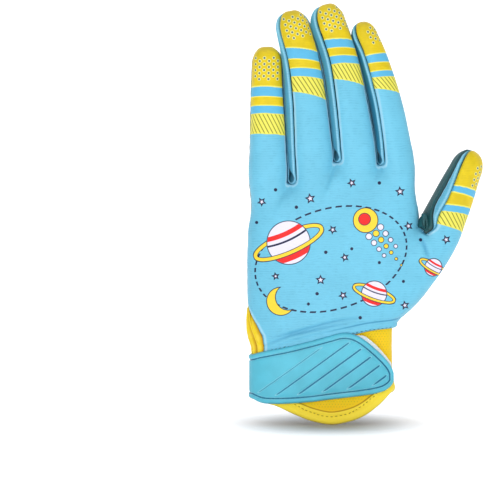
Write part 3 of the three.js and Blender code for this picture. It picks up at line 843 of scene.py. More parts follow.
def line_distance(points, path):
    """Distance from flat points to a path, in chunks to save memory."""
    path = np.array(path, float)
    start, step = path[:-1], path[1:] - path[:-1]
    length = np.maximum((step**2).sum(1), 1e-9)
    gaps = []
    for chunk in np.array_split(points, max(1, len(points) // 4000)):
        t = np.clip(((chunk[:, None] - start) * step).sum(-1) / length, 0, 1)
        gaps.append(np.linalg.norm(chunk[:, None] - (start + step * t[..., None]), axis=-1).min(1))
    return np.concatenate(gaps)


# The printed pattern on the back of the hand, in millimetres across and up the front view: where each motif
# is, its radius and its turn.
STARS = (
    (-7, 117, 3.3, 0.2), (6, 99, 2.9, 0.5), (45, 121, 3.2, 0.1), (17, 126, 2.9, 0.4), (50, 101, 3.0, 0.3),
    (-35, 115, 2.9, 0.6), (-1, 70, 3.2, 0.0), (12, 61, 2.9, 0.5), (48, 55, 3.0, 0.2), (13, 83, 2.8, 0.3),
    (72, 93, 3.0, 0.4), (-27, 72, 2.6, 0.2),
)
SPOTS = (
    (-15, 112, 1.0, 0), (17, 88, 0.9, 0), (33, 126, 1.0, 0), (33, 80, 0.9, 0), (-38, 103, 0.9, 0),
    (2, 86, 1.0, 0), (-8, 56, 0.9, 0), (22, 48, 1.0, 0), (47, 69, 0.9, 0), (57, 93, 1.0, 0),
    (-27, 122, 1.0, 0), (-3, 62, 1.0, 0),
)
PLANETS = ((-19.5, 91.5, 12.8, 0.42), (64.5, 77, 5.4, -0.52), (30, 62, 7.6, -0.35))
ORBIT = (5, 82, 45.0, 29.0, 0.3)
CRESCENT = (-24, 57.5, 8.4)
COMET = (25, 104.5, 7.4, -0.9)


def beside(points, items, name, reach):
    """Each point's place beside the nearest of some motifs, that one's radius, and whether it is close."""
    items = np.array(items, float)
    away = points[:, None] - items[None, :, :2]
    nearest = (np.linalg.norm(away, axis=-1) / items[:, 2]).argmin(1)
    dx, dz = away[np.arange(len(points)), nearest].T
    size, turn = items[nearest, 2:].T
    across, up = dx * np.cos(turn) + dz * np.sin(turn), dz * np.cos(turn) - dx * np.sin(turn)
    near = (np.hypot(dx, dz) < reach * size + 1.8).astype(float)
    return {name + "_x": across, name + "_z": up, name + "_size": size, name + "_near": near}


def back_print(cloth):
    """Where each point of the back lies beside the motifs, for the shader to draw them."""
    points = cloth.co[:, [0, 2]]
    for items, name, reach in ((STARS, "star", 1.4), (SPOTS, "spot", 1.4), (PLANETS, "planet", 1.8)):
        cloth.val.update(beside(points, items, name, reach))


# The wrist. Angles run round it from its right side: 180 to 360 degrees is the front. The second line says
# how far out from the wrist's oval each piece's outer face lies.
WRIST = {"left": -39.7, "right": 43.2, "deep": 13.5}
CUFF_OUTER, STRAP_OUTER, PATCH_OUTER = -2.2, 2.5, 0.8
CUFF_TOP, CUFF_BACK_LOW = 38.5, 3.0
# The flap's lower edge in front, as x and height. Then the strap's, with the height of its upper edge too.
FLAP = (
    (-42, 2.5), (-39, 1.5), (-33, -2.0), (-26, -3.8), (-16, -8.0), (-6, -12.0), (5, -14.2), (16, -12.2),
    (24, -8.6), (31.5, -2.8), (37.5, 3.4), (41, 6.4), (43, 8.0),
)
STRAP_FRONT = (
    (-41, 0.4, 26.3), (-37, -1.3, 27.6), (-32, -2.1, 28.7), (-20, -1.9, 31.2), (-7, -0.9, 34.4),
    (4, 0.5, 37.4), (11, 1.3, 39.2), (17, 2.0, 38.8), (23, 2.7, 36.2), (30, 3.7, 30.8), (36, 5.2, 25.2),
    (39.5, 7.2, 21.2), (41.0, 8.7, 18.8), (42.0, 10.3, 16.2), (42.3, 11.4, 14.6),
)
STRAP_BACK = {"low": 1.0, "high": 26.3, "end": 62.0}
STRAP_TAB_END = 334.0  # degrees round, as is STRAP_BACK's end
# The grooves on the strap's tab: degrees from level, spacing and the height of the first. Then how far the
# border's own groove lies inside the strap's outline, and the flap's stitches inside the cuff's.
GROOVE_SLANT, GROOVE_PITCH, GROOVE_FIRST = 36.0, 7.1, 11.0
GROOVE_INSET = 3.2
FLAP_STITCH = 4.7


def wrist_point(angle, offset):
    """A level point round the wrist, at an offset out from the hem's outer face."""
    wide = (WRIST["right"] - WRIST["left"]) / 2 + offset
    u, v = superellipse(angle, wide, WRIST["deep"] + offset)
    return (WRIST["right"] + WRIST["left"]) / 2 - u, v


def wrist_grid(angles, z, offset):
    """A grid of points round the wrist, from each column's angle and each point's height."""
    x, y = wrist_point(angles[None] + 0 * z, offset)
    return np.stack([x, y, z], -1)


def wrist_front(x):
    """How far forward the wrist's front is at x."""
    centre = (WRIST["right"] + WRIST["left"]) / 2
    wide = (WRIST["right"] - WRIST["left"]) / 2
    share = np.clip(np.abs(x - centre) / wide, 0, 0.999)
    return -WRIST["deep"] * (1 - share**SQUARENESS) ** (1 / SQUARENESS)


def wrist_run(first, last, step):
    """Angles evenly spaced by arc length between two angles in degrees, and the length of that arc."""
    fine = np.radians(np.linspace(first, last, 4000))
    x, y = wrist_point(fine, 0.0)
    arc = np.concatenate([[0], np.cumsum(np.hypot(np.diff(x), np.diff(y)))])
    return np.interp(np.linspace(0, arc[-1], int(arc[-1] / step) + 1), arc, fine), arc[-1]


def edge_distance(run, z, outline):
    """Millimetres from each point of a grid, laid flat, to an outline."""
    flat = np.stack([np.broadcast_to(run[None], z.shape), z], -1).reshape(-1, 2)
    return line_distance(flat, outline).reshape(z.shape)


def smooth_curve(x, table, column):
    """A table's column at x, through its points without their corners."""
    table = np.array(table, float)
    fine = catmull(table, np.linspace(0, len(table) - 1, 12 * len(table)))
    order = np.argsort(fine[:, 0])
    return np.interp(x, fine[order, 0], fine[order, column])


def cuff_low(x, y):
    """The height of the cuff's lower edge: the flap in front, and level behind."""
    return mix(smooth_curve(x, FLAP, 1), CUFF_BACK_LOW, smoothstep(-5.5, 5.5, y))


def cuff_piece():
    """The elastic tube under the hem and strap, and the rounded flap at its lower front."""
    angles, length = wrist_run(0, 360, 0.85)
    x, y = wrist_point(angles, CUFF_OUTER)
    low = cuff_low(x, y)
    z = mix(low[None], slanted(CUFF_TOP, x)[None], np.linspace(0, 1, 62)[:, None])
    front = 1 - smoothstep(-9, -1, y)[None]
    wrapped = 1 - smoothstep(-4, 6, y)[None]
    flare = 2.6 * wrapped * (1 - smoothstep(4, 16, z)) * smoothstep(-36, -8, x)[None]
    grid = wrist_grid(angles, z, CUFF_OUTER + flare)
    grid[:, -1] = grid[:, 0]
    run = np.linspace(0, length, len(angles))
    cloth = Cloth()
    cloth.add(grid, {"edge": edge_distance(run, z, np.stack([run, low], 1)), "front": front + 0 * z})
    cloth.settle()
    edge, front = cloth.val["edge"], cloth.val["front"]
    band = 0.5 * plateau(edge, 2.3, 2.4) * (edge < FLAP_STITCH)
    rim = -0.7 * bell(edge, 0.8)
    stitched = -0.45 * bell(edge - FLAP_STITCH, 0.5) * front
    fold = 0.5 * bell(edge - 6.2, 0.9) - 0.5 * smoothstep(6.9, 7.6, edge)
    fold = fold + 0.3 * smoothstep(8.0, 12.0, edge)
    waves = 0.3 * noise(cloth.co, 26, 31) + 0.12 * noise(cloth.co, 9, 32)
    return cloth.press(rim + (band + fold) * front + stitched + waves * smoothstep(1, 7, edge))


def strap_outline(x, y):
    """The strap's low and high edge where it passes a point of the wrist."""
    front = smoothstep(2.0, -3.0, y)
    edges = ((STRAP_BACK["low"], 1), (STRAP_BACK["high"], 2))
    return [mix(behind, smooth_curve(x, STRAP_FRONT, column), front) for behind, column in edges]


def strap_piece():
    """The moulded strap: a raised border with a groove inside it and slanting grooves on the tab."""
    angles, length = wrist_run(STRAP_TAB_END, STRAP_BACK["end"], 0.5)
    even = np.linspace(0, 1, len(angles))
    close = 0.08 * even + 0.92 * even**2
    angles, run = np.interp(close, even, angles), close * length
    low, high = strap_outline(*wrist_point(angles, STRAP_OUTER))
    z = mix(low[None], high[None], np.linspace(0, 1, 70)[:, None])
    outline = np.concatenate([np.stack([run, low], 1), np.stack([run, high], 1)[::-1], [[0, low[0]]]])
    cloth = Cloth()
    cloth.add(wrist_grid(angles, z, STRAP_OUTER), {"edge": edge_distance(run, z, outline[::2])}, flip=True)
    cloth.settle()
    relief, cloth.val["groove"] = strap_relief(cloth.co, cloth.val["edge"])
    return cloth.press(relief)


def strap_relief(points, edge):
    """How far the strap's face stands out or in at each point, and how deep in a groove the point is."""
    border = -0.9 * bell(edge, 0.6) + 0.4 * plateau(edge, 1.6, 1.6)
    groove = -0.6 * bell(edge - GROOVE_INSET, 0.42)
    field = 0.14 * smoothstep(3.6, 5.0, edge)
    cos, sin = math.cos(math.radians(GROOVE_SLANT)), math.sin(math.radians(GROOVE_SLANT))
    x, y, z = points.T
    along = x * cos + z * sin
    k = (z * cos - x * sin - GROOVE_FIRST) / GROOVE_PITCH
    number = np.round(k)
    fades = (number >= -3) & (number <= 2) & (y < -2)
    depth = np.where(number <= 0, 0.6, np.where(number == 1, 0.5, 0.32)) * fades
    start = smoothstep(-30, -12, along + 6 * number)
    inside = smoothstep(4.4, 6.2, edge)
    cut = -depth * bell((k - number) * GROOVE_PITCH, 0.45) * inside * start
    step = 0.5 * (k - np.floor(k)) * (k < 1.98) * (k > -3.4) * inside * start * (y < -2)
    return border + groove + field + cut + step, np.maximum(-groove, -cut)


def patch_piece():
    """The strip of hook tape that shows past the strap's upper edge."""
    angles, _ = wrist_run(333, 282, 0.6)
    x, y = wrist_point(angles, PATCH_OUTER)
    low, high = strap_outline(x, y)
    show = 2.4 * smoothstep(19, 26, x) - 1.2 * smoothstep(30, 40, x)
    z = mix(low[None] + 1.5, high[None] + show[None], np.linspace(0, 1, 50)[:, None])
    cloth = Cloth()
    cloth.add(wrist_grid(angles, z, PATCH_OUTER), {}, flip=True)
    cloth.settle()
    return cloth.press(0.12 * noise(cloth.co, 2.2, 41, 1))


# The gusset's pleats by height: how far its ridges stand out and its valleys in.
PLEATS = ((31, 1.2, 2.0), (35, 2.2, 3.0), (40, 2.6, 3.2), (46, 2.2, 2.2), (52, 1.2, 0.8), (56.6, 0.2, 0.1))
GUSSET_WALL = 1.1


def gusset_piece():
    """The pleated knit that fills the slit at the little-finger side of the wrist."""
    heights = np.linspace(26.0, 57.4, 62)
    places = np.linspace(-1, 1, 91)
    pleats = np.array(PLEATS, float)
    ridge, valley = (np.interp(heights, pleats[:, 0], pleats[:, i])[:, None] for i in (1, 2))
    shift = 0.07 * np.sin(heights[:, None] * 0.23 + 1.0)
    spot = np.abs(places[None] + shift * (1 - places[None] ** 2))
    fold = np.abs(np.cos(math.pi * np.interp(spot, (0, 0.3, 0.7, 1), (0, 0.5, 1.5, 2.5)))) ** 0.7
    z = heights[:, None] + 0 * fold
    row = hand_row(z - HAND_SLANT * (-41.0 - HAND_MIDDLE))
    y = places[None] * np.maximum(leaf_half(heights)[:, None] - 0.5, 0.1)
    inset = seam_angle(np.abs(y), row["deep"])
    u, _ = superellipse(inset, (row["right"] - row["left"]) / 2, row["deep"])
    edge = 1 - np.abs(places[None]) ** 8
    tip = smoothstep(52.5, 56, heights)[:, None]
    out = mix(-valley, ridge, fold) * 0.9 * edge - 1.6 * (1 - edge) - 0.4 - 0.9 * tip
    x = (row["right"] + row["left"]) / 2 + u - out
    cloth = Cloth()
    # fold is 1 down in the pleats' valleys, where gusset_cloth paints shade.
    cloth.add(np.stack([x, y + row["y"], z], -1), {"fold": (1 - fold) * (1 - tip)}, flip=True)
    cloth.settle()
    return cloth.press(0.12 * noise(cloth.co, 7, 51))


class Shade:
    """A number in a material. Python's operators join two of them with Math nodes."""

    def __init__(self, paint, socket):
        self.paint, self.socket = paint, socket

    def _math(self, operation, *values):
        node = self.paint.node("ShaderNodeMath", {"operation": operation}, dict(enumerate(values)))
        return Shade(self.paint, node.outputs[0])

    def __add__(self, other):
        return self._math("ADD", self, other)

    def __radd__(self, other):
        return self._math("ADD", other, self)

    def __sub__(self, other):
        return self._math("SUBTRACT", self, other)

    def __rsub__(self, other):
        return self._math("SUBTRACT", other, self)

    def __mul__(self, other):
        return self._math("MULTIPLY", self, other)

    def __rmul__(self, other):
        return self._math("MULTIPLY", other, self)

    def __truediv__(self, other):
        return self._math("DIVIDE", self, other)

    def __pow__(self, other):
        return self._math("POWER", self, other)

    def __lt__(self, other):
        return self._math("LESS_THAN", self, other)

    def __gt__(self, other):
        return self._math("GREATER_THAN", self, other)

    def __abs__(self):
        return self._math("ABSOLUTE", self)

    def floor(self):
        return self._math("FLOOR", self)

    def fraction(self):
        return self._math("FRACT", self)

    def sine(self):
        return self._math("SINE", self)

    def wave(self, step):
        """Rises and falls between 0 and 1, once every step."""
        return (self * (2 * math.pi / step)).sine() * 0.5 + 0.5

    def cell(self, step):
        """How far the number is from the middle of the step that it lies in."""
        return ((self / step).fraction() - 0.5) * step

    def cosine(self):
        return self._math("COSINE", self)

    def arctan2(self, other):
        return self._math("ARCTAN2", self, other)

    def most(self, other):
        return self._math("MAXIMUM", self, other)


class Paint:
    """One material's nodes."""

    def __init__(self, name):
        self.material = bpy.data.materials.new(name)
        self.material.use_nodes = True
        self.tree = self.material.node_tree
        self.tree.nodes.clear()

    def node(self, kind, settings=None, inputs=None):
        """Adds a node, its settings first and then its sockets' values or links."""
        node = self.tree.nodes.new(kind)
        for key, value in (settings or {}).items():
            setattr(node, key, value)
        for key, value in (inputs or {}).items():
            socket = node.inputs[key]
            if isinstance(value, Shade):
                self.tree.links.new(value.socket, socket)
            elif isinstance(value, bpy.types.NodeSocket):
                self.tree.links.new(value, socket)
            else:
                socket.default_value = value
        return node

    def attribute(self, name):
        return Shade(self, self.node("ShaderNodeAttribute", {"attribute_name": name}).outputs["Fac"])

    def place(self):
        """Where the point is, in millimetres, as a vector."""
        where = self.node("ShaderNodeTexCoord").outputs["Object"]
        scale = {"operation": "SCALE"}
        return self.node("ShaderNodeVectorMath", scale, {0: where, "Scale": 1 / MM}).outputs[0]

    def parts(self, vector):
        """A vector's three numbers."""
        parts = self.node("ShaderNodeSeparateXYZ", None, {0: vector})
        return [Shade(self, parts.outputs[i]) for i in range(3)]

    def ease(self, value, low, high):
        """0 below low, 1 above high, and smooth between."""
        sockets = {"Value": value, "From Min": low, "From Max": high}
        node = self.node("ShaderNodeMapRange", {"interpolation_type": "SMOOTHSTEP"}, sockets)
        return Shade(self, node.outputs["Result"])

    def within(self, value, low, rise, fall, high):
        """1 from rise to fall, 0 below low and above high, and smooth between."""
        return self.ease(value, low, rise) * (1 - self.ease(value, fall, high))

    def mix(self, factor, a, b):
        sockets = {0: factor, 6: a, 7: b}
        return self.node("ShaderNodeMix", {"data_type": "RGBA"}, sockets).outputs[2]

    def mottle(self, drift, a, b):
        """Two colours in soft patches."""
        return self.mix(self.ease(drift, 0.3, 0.7), a, b)

    def specks(self, where, scale, settings, sockets):
        """The distance to the nearest of many scattered points."""
        node = self.node("ShaderNodeTexVoronoi", settings, {"Vector": where, "Scale": scale, **sockets})
        return Shade(self, node.outputs["Distance"])

    def grain(self, vector, scale, detail=2.0):
        """Soft noise between 0 and 1. scale is in waves a millimetre."""
        sockets = {"Vector": vector, "Scale": scale, "Detail": detail}
        return Shade(self, self.node("ShaderNodeTexNoise", None, sockets).outputs["Fac"])

    def finish(self, colour, rough, height, depth, constants):
        """The cloth or rubber itself. depth is how deep the height's 0 to 1 goes, in millimetres."""
        sockets = {"Height": height, "Distance": depth * MM, "Strength": 1.0}
        bump = self.node("ShaderNodeBump", None, sockets).outputs[0]
        sockets = {"Base Color": colour, "Roughness": rough, "Normal": bump, **constants}
        surface = self.node("ShaderNodeBsdfPrincipled", None, sockets)
        self.node("ShaderNodeOutputMaterial", None, {"Surface": surface.outputs[0]})
        return self.material


def tint(red, green, blue):
    """A colour as shaders want it, from the numbers 0 to 255 that a colour picker shows."""
    parts = [v / 255 for v in (red, green, blue)]
    linear = [p / 12.92 if p <= 0.04045 else ((p + 0.055) / 1.055) ** 2.4 for p in parts]
    return (*linear, 1.0)


def darker(colour, share):
    return (*[c * share for c in colour[:3]], 1.0)


def lighter(colour, share):
    return (*[c + (1 - c) * share for c in colour[:3]], 1.0)


DOT_ACROSS, DOT_DOWN = 2.75, 3.5  # the dots' spacing, each column half a step lower than the last
HOLE_ACROSS, HOLE_DOWN = 1.7, 1.5  # the same for the holes in the flap
SATIN = {"Sheen Weight": 0.12, "Sheen Roughness": 0.4, "Specular IOR Level": 0.4}
ELASTIC = {"Sheen Weight": 0.3, "Sheen Roughness": 0.45, "Specular IOR Level": 0.3}
NAVY, WHITE, GOLD, RED = tint(20, 22, 64), tint(232, 228, 246), tint(250, 214, 50), tint(236, 22, 20)


def fingertip_dots(paint, across):
    """Where the tips' rings are, and the dots in them."""
    start, end = paint.attribute("dots_from"), paint.attribute("dots_to")
    column = (across / DOT_ACROSS).floor()
    fall = paint.attribute("fall") - start + (column / 2).fraction() * DOT_DOWN
    reach = distance(across.cell(DOT_ACROSS), fall.cell(DOT_DOWN))
    row_down = (fall / DOT_DOWN).floor() * DOT_DOWN
    aside = abs((column + 0.5) * DOT_ACROSS)
    spread = (row_down > -0.1) * (row_down < end - start - 1) * (aside < paint.attribute("dots_half"))
    return [(1 - paint.ease(reach, *edge)) * spread for edge in ((0.95, 1.15), (0.5, 0.72))]


def print_cloth(sky, yellow):
    """Satin knit with the printed bands, dots, hatching and motifs."""
    paint = Paint("print_cloth")
    where = paint.place()
    x, _, z = paint.parts(where)
    band, across, seam = (paint.attribute(name) for name in ("band", "across", "seam"))
    drift = paint.grain(where, 0.05, 3.0)
    height, ribs = knit(paint, z, where)
    cloth = paint.mottle(drift, sky, darker(sky, 0.93))
    cloth = paint.mix(ribs * 0.5, cloth, tint(40, 120, 160))
    # A painted highlight on the raised lip beside each seam.
    cloth = paint.mix(paint.within(seam, 0.9, 1.6, 2.0, 3.4), cloth, lighter(sky, 0.2))
    # Painted shade along the seams, deeper on each finger's right edge.
    seam_shade = (1 - paint.ease(seam, 0.1, 0.9)) * (0.3 + 0.7 * paint.ease(across, -5, 5))
    cloth = paint.mix(seam_shade, cloth, tint(16, 70, 104))
    cloth = paint.mix(paint.within(band, 0.98, 1.0, 4.0, 4.02), cloth, tint(92, 186, 228))

    gold = paint.mottle(paint.grain(where, 0.12), yellow, darker(yellow, 0.86))
    gold = paint.mix(ribs * 0.5, gold, darker(yellow, 0.6))
    ring, dot = fingertip_dots(paint, across)
    dotted = paint.mix(paint.ease(band, 0.95, 0.97), gold, tint(246, 240, 120))
    dotted = paint.mix(ring, dotted, tint(238, 234, 140))
    dotted = paint.mix(dot, dotted, tint(84, 110, 122))
    stripe = paint.mix(paint.ease(abs(band - 2.5), 0.36, 0.4), gold, tint(244, 236, 96))
    lined = 1 - paint.ease(abs(paint.attribute("hatch").fraction() - 0.5), 0.07, 0.17)
    lined = lined * paint.within(band, 4.0, 4.12, 4.88, 5.0)
    hatched = paint.mix(lined, tint(238, 230, 92), tint(128, 128, 30))

    tip = 1 - paint.ease(band, 0.985, 1.0)
    colour = paint.mix(tip, cloth, dotted)
    colour = paint.mix(paint.within(band, 2.0, 2.03, 2.97, 3.0), colour, stripe)
    colour = paint.mix(paint.within(band, 4.0, 4.02, 4.99, 5.0), colour, hatched)
    # Painted shade in the groove above the wrist hem.
    hem_groove_shade = paint.within(paint.attribute("hem"), 4.5, 4.9, 5.2, 5.8) * paint.ease(x, -8, 22)
    colour = paint.mix(hem_groove_shade * 0.75, colour, tint(38, 132, 178))
    # Painted shade in the back's creases.
    colour = paint.mix(paint.attribute("fold") * 0.6, colour, tint(44, 134, 180))
    for draw in (print_orbit, print_stars, print_planets, print_crescent, print_comet):
        colour = draw(paint, colour, x, z)
    return paint.finish(colour, 0.46 + 0.12 * drift - 0.08 * tip, height, 0.08, SATIN)


def filled(paint, gap):
    """1 where the distance from a shape's edge is negative."""
    return 1 - paint.ease(gap, -0.1, 0.1)


def inked(paint, colour, gap, ink, line=0.5, where=1.0):
    """Prints a shape in one ink with a navy line round it. gap is the distance from its edge."""
    colour = paint.mix(filled(paint, gap) * where, colour, NAVY)
    return paint.mix(filled(paint, gap + line) * where, colour, ink)


def turned(dx, dz, turn):
    """Coordinates along and across a direction, turned from level."""
    return dx * math.cos(turn) + dz * math.sin(turn), dz * math.cos(turn) - dx * math.sin(turn)


def distance(x, z):
    return (x * x + z * z) ** 0.5


def oval_line(x, z, wide, high):
    """Roughly the distance from an oval's line."""
    a, b = x / wide, z / high
    r = distance(a, b)
    return abs((r * r - r) / distance(a / wide, b / high))


def print_orbit(paint, colour, x, z):
    """A dashed path on which the planets and the comet travel."""
    left, level, wide, high, turn = ORBIT
    across, up = turned(x - left, z - level, turn)
    dash = ((up / high).arctan2(across / wide) * (23 / math.pi)).fraction() < 0.62
    gap = oval_line(across, up, wide, high) - 0.5
    return paint.mix(filled(paint, gap) * dash, colour, NAVY)


def motif(paint, name):
    """The nearest motif's own coordinates, its radius, and 1 where it may be drawn."""
    x, z, size, near = (paint.attribute(name + end) for end in ("_x", "_z", "_size", "_near"))
    return x, z, size, near > 0.999


def print_stars(paint, colour, *_):
    """Five-pointed stars, and the spots between them."""
    x, z, size, near = motif(paint, "star")
    fold = abs((x.arctan2(z) * (2.5 / math.pi) + 0.5).fraction() - 0.5) * (math.pi / 2.5)
    gap = distance(x, z) * (0.41 * fold.cosine() + 0.912 * fold.sine()) - 0.41 * size
    colour = inked(paint, colour, gap, WHITE, 0.72, near)
    x, z, size, near = motif(paint, "spot")
    return paint.mix(filled(paint, distance(x, z) - size) * near, colour, NAVY)


def print_planets(paint, colour, *_):
    """A belted ball with a ring round it, over the ball below and under it above."""
    x, z, size, near = motif(paint, "planet")
    ring = oval_line(x, z, 1.62 * size, 0.44 * size) - (0.07 * size + 0.5)
    ball = distance(x, z) - size
    colour = inked(paint, colour, ring, GOLD, 0.45, near)
    colour = inked(paint, colour, ball, WHITE, 0.5, near)
    for ink, height, half in ((RED, 0.52, 0.11), (NAVY, 0.2, 0.045), (RED, -0.56, 0.14)):
        bow = abs(z - size * (height - 0.1) - x * x / size * 0.12) - half * size
        colour = paint.mix(filled(paint, bow.most(ball + 0.5)) * near, colour, ink)
    return inked(paint, colour, ring, GOLD, 0.45, near * (z < 0))


def print_crescent(paint, colour, x, z):
    """A disc less another disc that stands to its upper right."""
    left, level, size = CRESCENT
    outer = distance(x - left, z - level) - size
    inner = 0.86 * size - distance(x - (left + 0.52 * size), z - (level + 0.28 * size))
    return inked(paint, colour, outer.most(inner), GOLD)


BEAD_ROW, BEAD_STEP = 4.3, 4.7  # the spacing of the comet's beads, across and along its tail


def print_comet(paint, colour, x, z):
    """A ringed head with three rows of beads behind it, each bead smaller than the last."""
    left, level, size, turn = COMET
    dx, dz = x - left, z - level
    along, over = turned(dx, dz, turn)
    row = (over / BEAD_ROW + 0.5).floor()
    along = along - size + abs(row) * 1.2
    count = (along / BEAD_STEP).floor()
    bead = distance(over - row * BEAD_ROW, along.cell(BEAD_STEP)) - (2.05 - 0.24 * count)
    some = (abs(row) < 1.5) * (count > -0.5) * (count + abs(row) * 2 < 5.5)
    colour = inked(paint, colour, bead, paint.mix(abs(row), GOLD, WHITE), 0.42, some)
    colour = inked(paint, colour, distance(dx, dz) - size, GOLD)
    return inked(paint, colour, distance(dx + 0.6, dz - 0.6) - 0.5 * size, RED, 0.45)


def knit(paint, z, where):
    """The satin knit's fine level ribs as a height, and a faint broken shade down in them."""
    ribs = (z + paint.grain(where, 0.16) * 2.0).wave(1.45)
    patchy = paint.ease(paint.grain(where, 0.3, 3.0), 0.45, 0.7)
    return ribs * 0.4 + z.wave(0.72) * 0.2 + paint.grain(where, 2.2) * 0.4, ribs * (0.1 + 0.3 * patchy)


def side_cloth(sky):
    """The same satin knit without the print, with painted shade between the fingers and painted seam
    highlights.
    """
    paint = Paint("side_cloth")
    where = paint.place()
    drift = paint.grain(where, 0.08, 3.0)
    seam = paint.attribute("seam")
    height, ribs = knit(paint, paint.parts(where)[2], where)
    # The sky colour darkened to 0.8 to 0.9 in soft patches: painted shade on the same knit, with tone that
    # varies at random.
    cloth = paint.mottle(drift, darker(sky, 0.9), darker(sky, 0.8))
    # Painted shade between the fingers.
    cloth = paint.mix(paint.attribute("between"), cloth, tint(0, 104, 134))
    # A painted highlight on the lip beside each seam.
    cloth = paint.mix(paint.within(seam, 0.5, 1.0, 1.2, 2.2), cloth, lighter(sky, 0.12))
    # Painted shade along the seams, deeper on the slit's left side.
    seam_shade = (1 - paint.ease(seam, 0.1, 0.7)) * (0.4 + 0.6 * paint.attribute("lean"))
    cloth = paint.mix(seam_shade, cloth, tint(14, 62, 96))
    cloth = paint.mix(ribs * 0.5, cloth, tint(30, 100, 140))
    return paint.finish(cloth, 0.48 + 0.1 * drift, height, 0.08, SATIN)


def grip_palm(teal):
    """Tacky coated palm: a fine pebbled grip over a soft base."""
    paint = Paint("grip_palm")
    where = paint.place()
    drift = paint.grain(where, 0.07, 3.0)
    pebble = paint.specks(where, 0.95, {"feature": "SMOOTH_F1"}, {"Smoothness": 0.35})
    colour = paint.mottle(drift, teal, darker(teal, 0.72))
    colour = paint.mix(paint.ease(pebble, 0.2, 0.6), colour, darker(teal, 1.3))
    # Painted shade along the seams.
    colour = paint.mix(1 - paint.ease(paint.attribute("seam"), 0.2, 1.6), colour, darker(teal, 0.5))
    height = (1 - pebble) * 0.7 + paint.grain(where, 2.5) * 0.3
    return paint.finish(colour, 0.44 + 0.2 * drift, height, 0.16, {"Specular IOR Level": 0.55})


def cuff_cloth(yellow):
    """Yellow elastic knit, pierced with tiny holes on the flap's inside field."""
    paint = Paint("cuff_cloth")
    where = paint.place()
    x, _, z = paint.parts(where)
    drift = paint.grain(where, 0.09, 3.0)
    edge, front = paint.attribute("edge"), paint.attribute("front")
    pale, warm = tint(255, 228, 62), tint(250, 204, 14)
    field = paint.mottle(drift, warm, [mix(a, b, 0.5) for a, b in zip(warm, yellow)])
    colour = paint.mix(paint.ease(edge, 6.8, 7.4), pale, field)
    # Painted shade in the fold between the flap's band and its field.
    crease_shade = paint.within(edge, 6.9, 7.3, 7.5, 8.0) * front
    colour = paint.mix(crease_shade * 0.7, colour, tint(150, 100, 10))
    row = (z / HOLE_DOWN).floor()
    reach = distance((x + (row / 2).fraction() * HOLE_ACROSS).cell(HOLE_ACROSS), z.cell(HOLE_DOWN))
    pierced = (1 - paint.ease(reach, 0.2, 0.38)) * paint.ease(edge, 8.6, 9.2) * front
    # The holes darkened: painted shade inside them.
    colour = paint.mix(pierced, colour, darker(yellow, 0.8))
    height = x.wave(0.9) * 0.3 + paint.grain(where, 2.4) * 0.4 - pierced * 1.2
    return paint.finish(colour, 0.62 + 0.12 * drift, height, 0.12, ELASTIC)


def gusset_cloth(yellow):
    """The same knit, with painted shade, brown to near black, down in its folds."""
    paint = Paint("gusset_cloth")
    where = paint.place()
    drift = paint.grain(where, 0.3, 3.0)
    fold = paint.attribute("fold")
    colour = paint.mottle(drift, tint(246, 214, 60), yellow)
    # Painted shade in the valleys, deepest at their bottoms.
    colour = paint.mix(paint.ease(fold, 0.08, 0.5), colour, tint(206, 156, 10))
    colour = paint.mix(paint.ease(fold, 0.45, 0.85), colour, tint(84, 52, 2))
    return paint.finish(colour, 0.66 + 0.1 * drift, paint.grain(where, 2.0, 3.0), 0.16, ELASTIC)


def strap_rubber(teal):
    """Moulded soft rubber, with a painted highlight at its grooves' edges and painted shade down in them."""
    paint = Paint("strap_rubber")
    where = paint.place()
    drift = paint.grain(where, 0.06, 3.0)
    groove = paint.attribute("groove")
    colour = paint.mottle(drift, teal, darker(teal, 0.88))
    # A painted highlight along the grooves' edges.
    colour = paint.mix(paint.within(groove, 0.03, 0.1, 0.12, 0.22) * 0.45, colour, lighter(teal, 0.3))
    # Painted shade down in the grooves.
    colour = paint.mix(paint.ease(groove, 0.15, 0.45), colour, tint(22, 112, 148))
    height = paint.grain(where, 2.8, 3.0)
    return paint.finish(colour, 0.4 + 0.14 * drift, height, 0.05, {"Specular IOR Level": 0.5})


def hook_tape():
    """White nylon hooks packed so close that they look like felt."""
    paint = Paint("hook_tape")
    where = paint.place()
    hooks = paint.specks(where, 1.9, {"feature": "F1"}, {})
    colour = paint.mix(paint.ease(hooks, 0.1, 0.6), tint(252, 254, 254), tint(222, 230, 232))
    height = (1 - hooks) + paint.grain(where, 5.0) * 0.5
    return paint.finish(colour, 0.7 - 0.2 * hooks, height, 0.3, {"Specular IOR Level": 0.4})


def thread(name, colour):
    """Twisted sewing thread."""
    paint = Paint(name)
    where = paint.place()
    x, _, z = paint.parts(where)
    twist = (x + z).wave(0.5)
    shade = paint.mix(twist, colour, darker(colour, 0.7))
    height = twist * 0.7 + paint.grain(where, 4.0) * 0.3
    return paint.finish(shade, 0.5 + 0.15 * twist, height, 0.08, {"Specular IOR Level": 0.4})


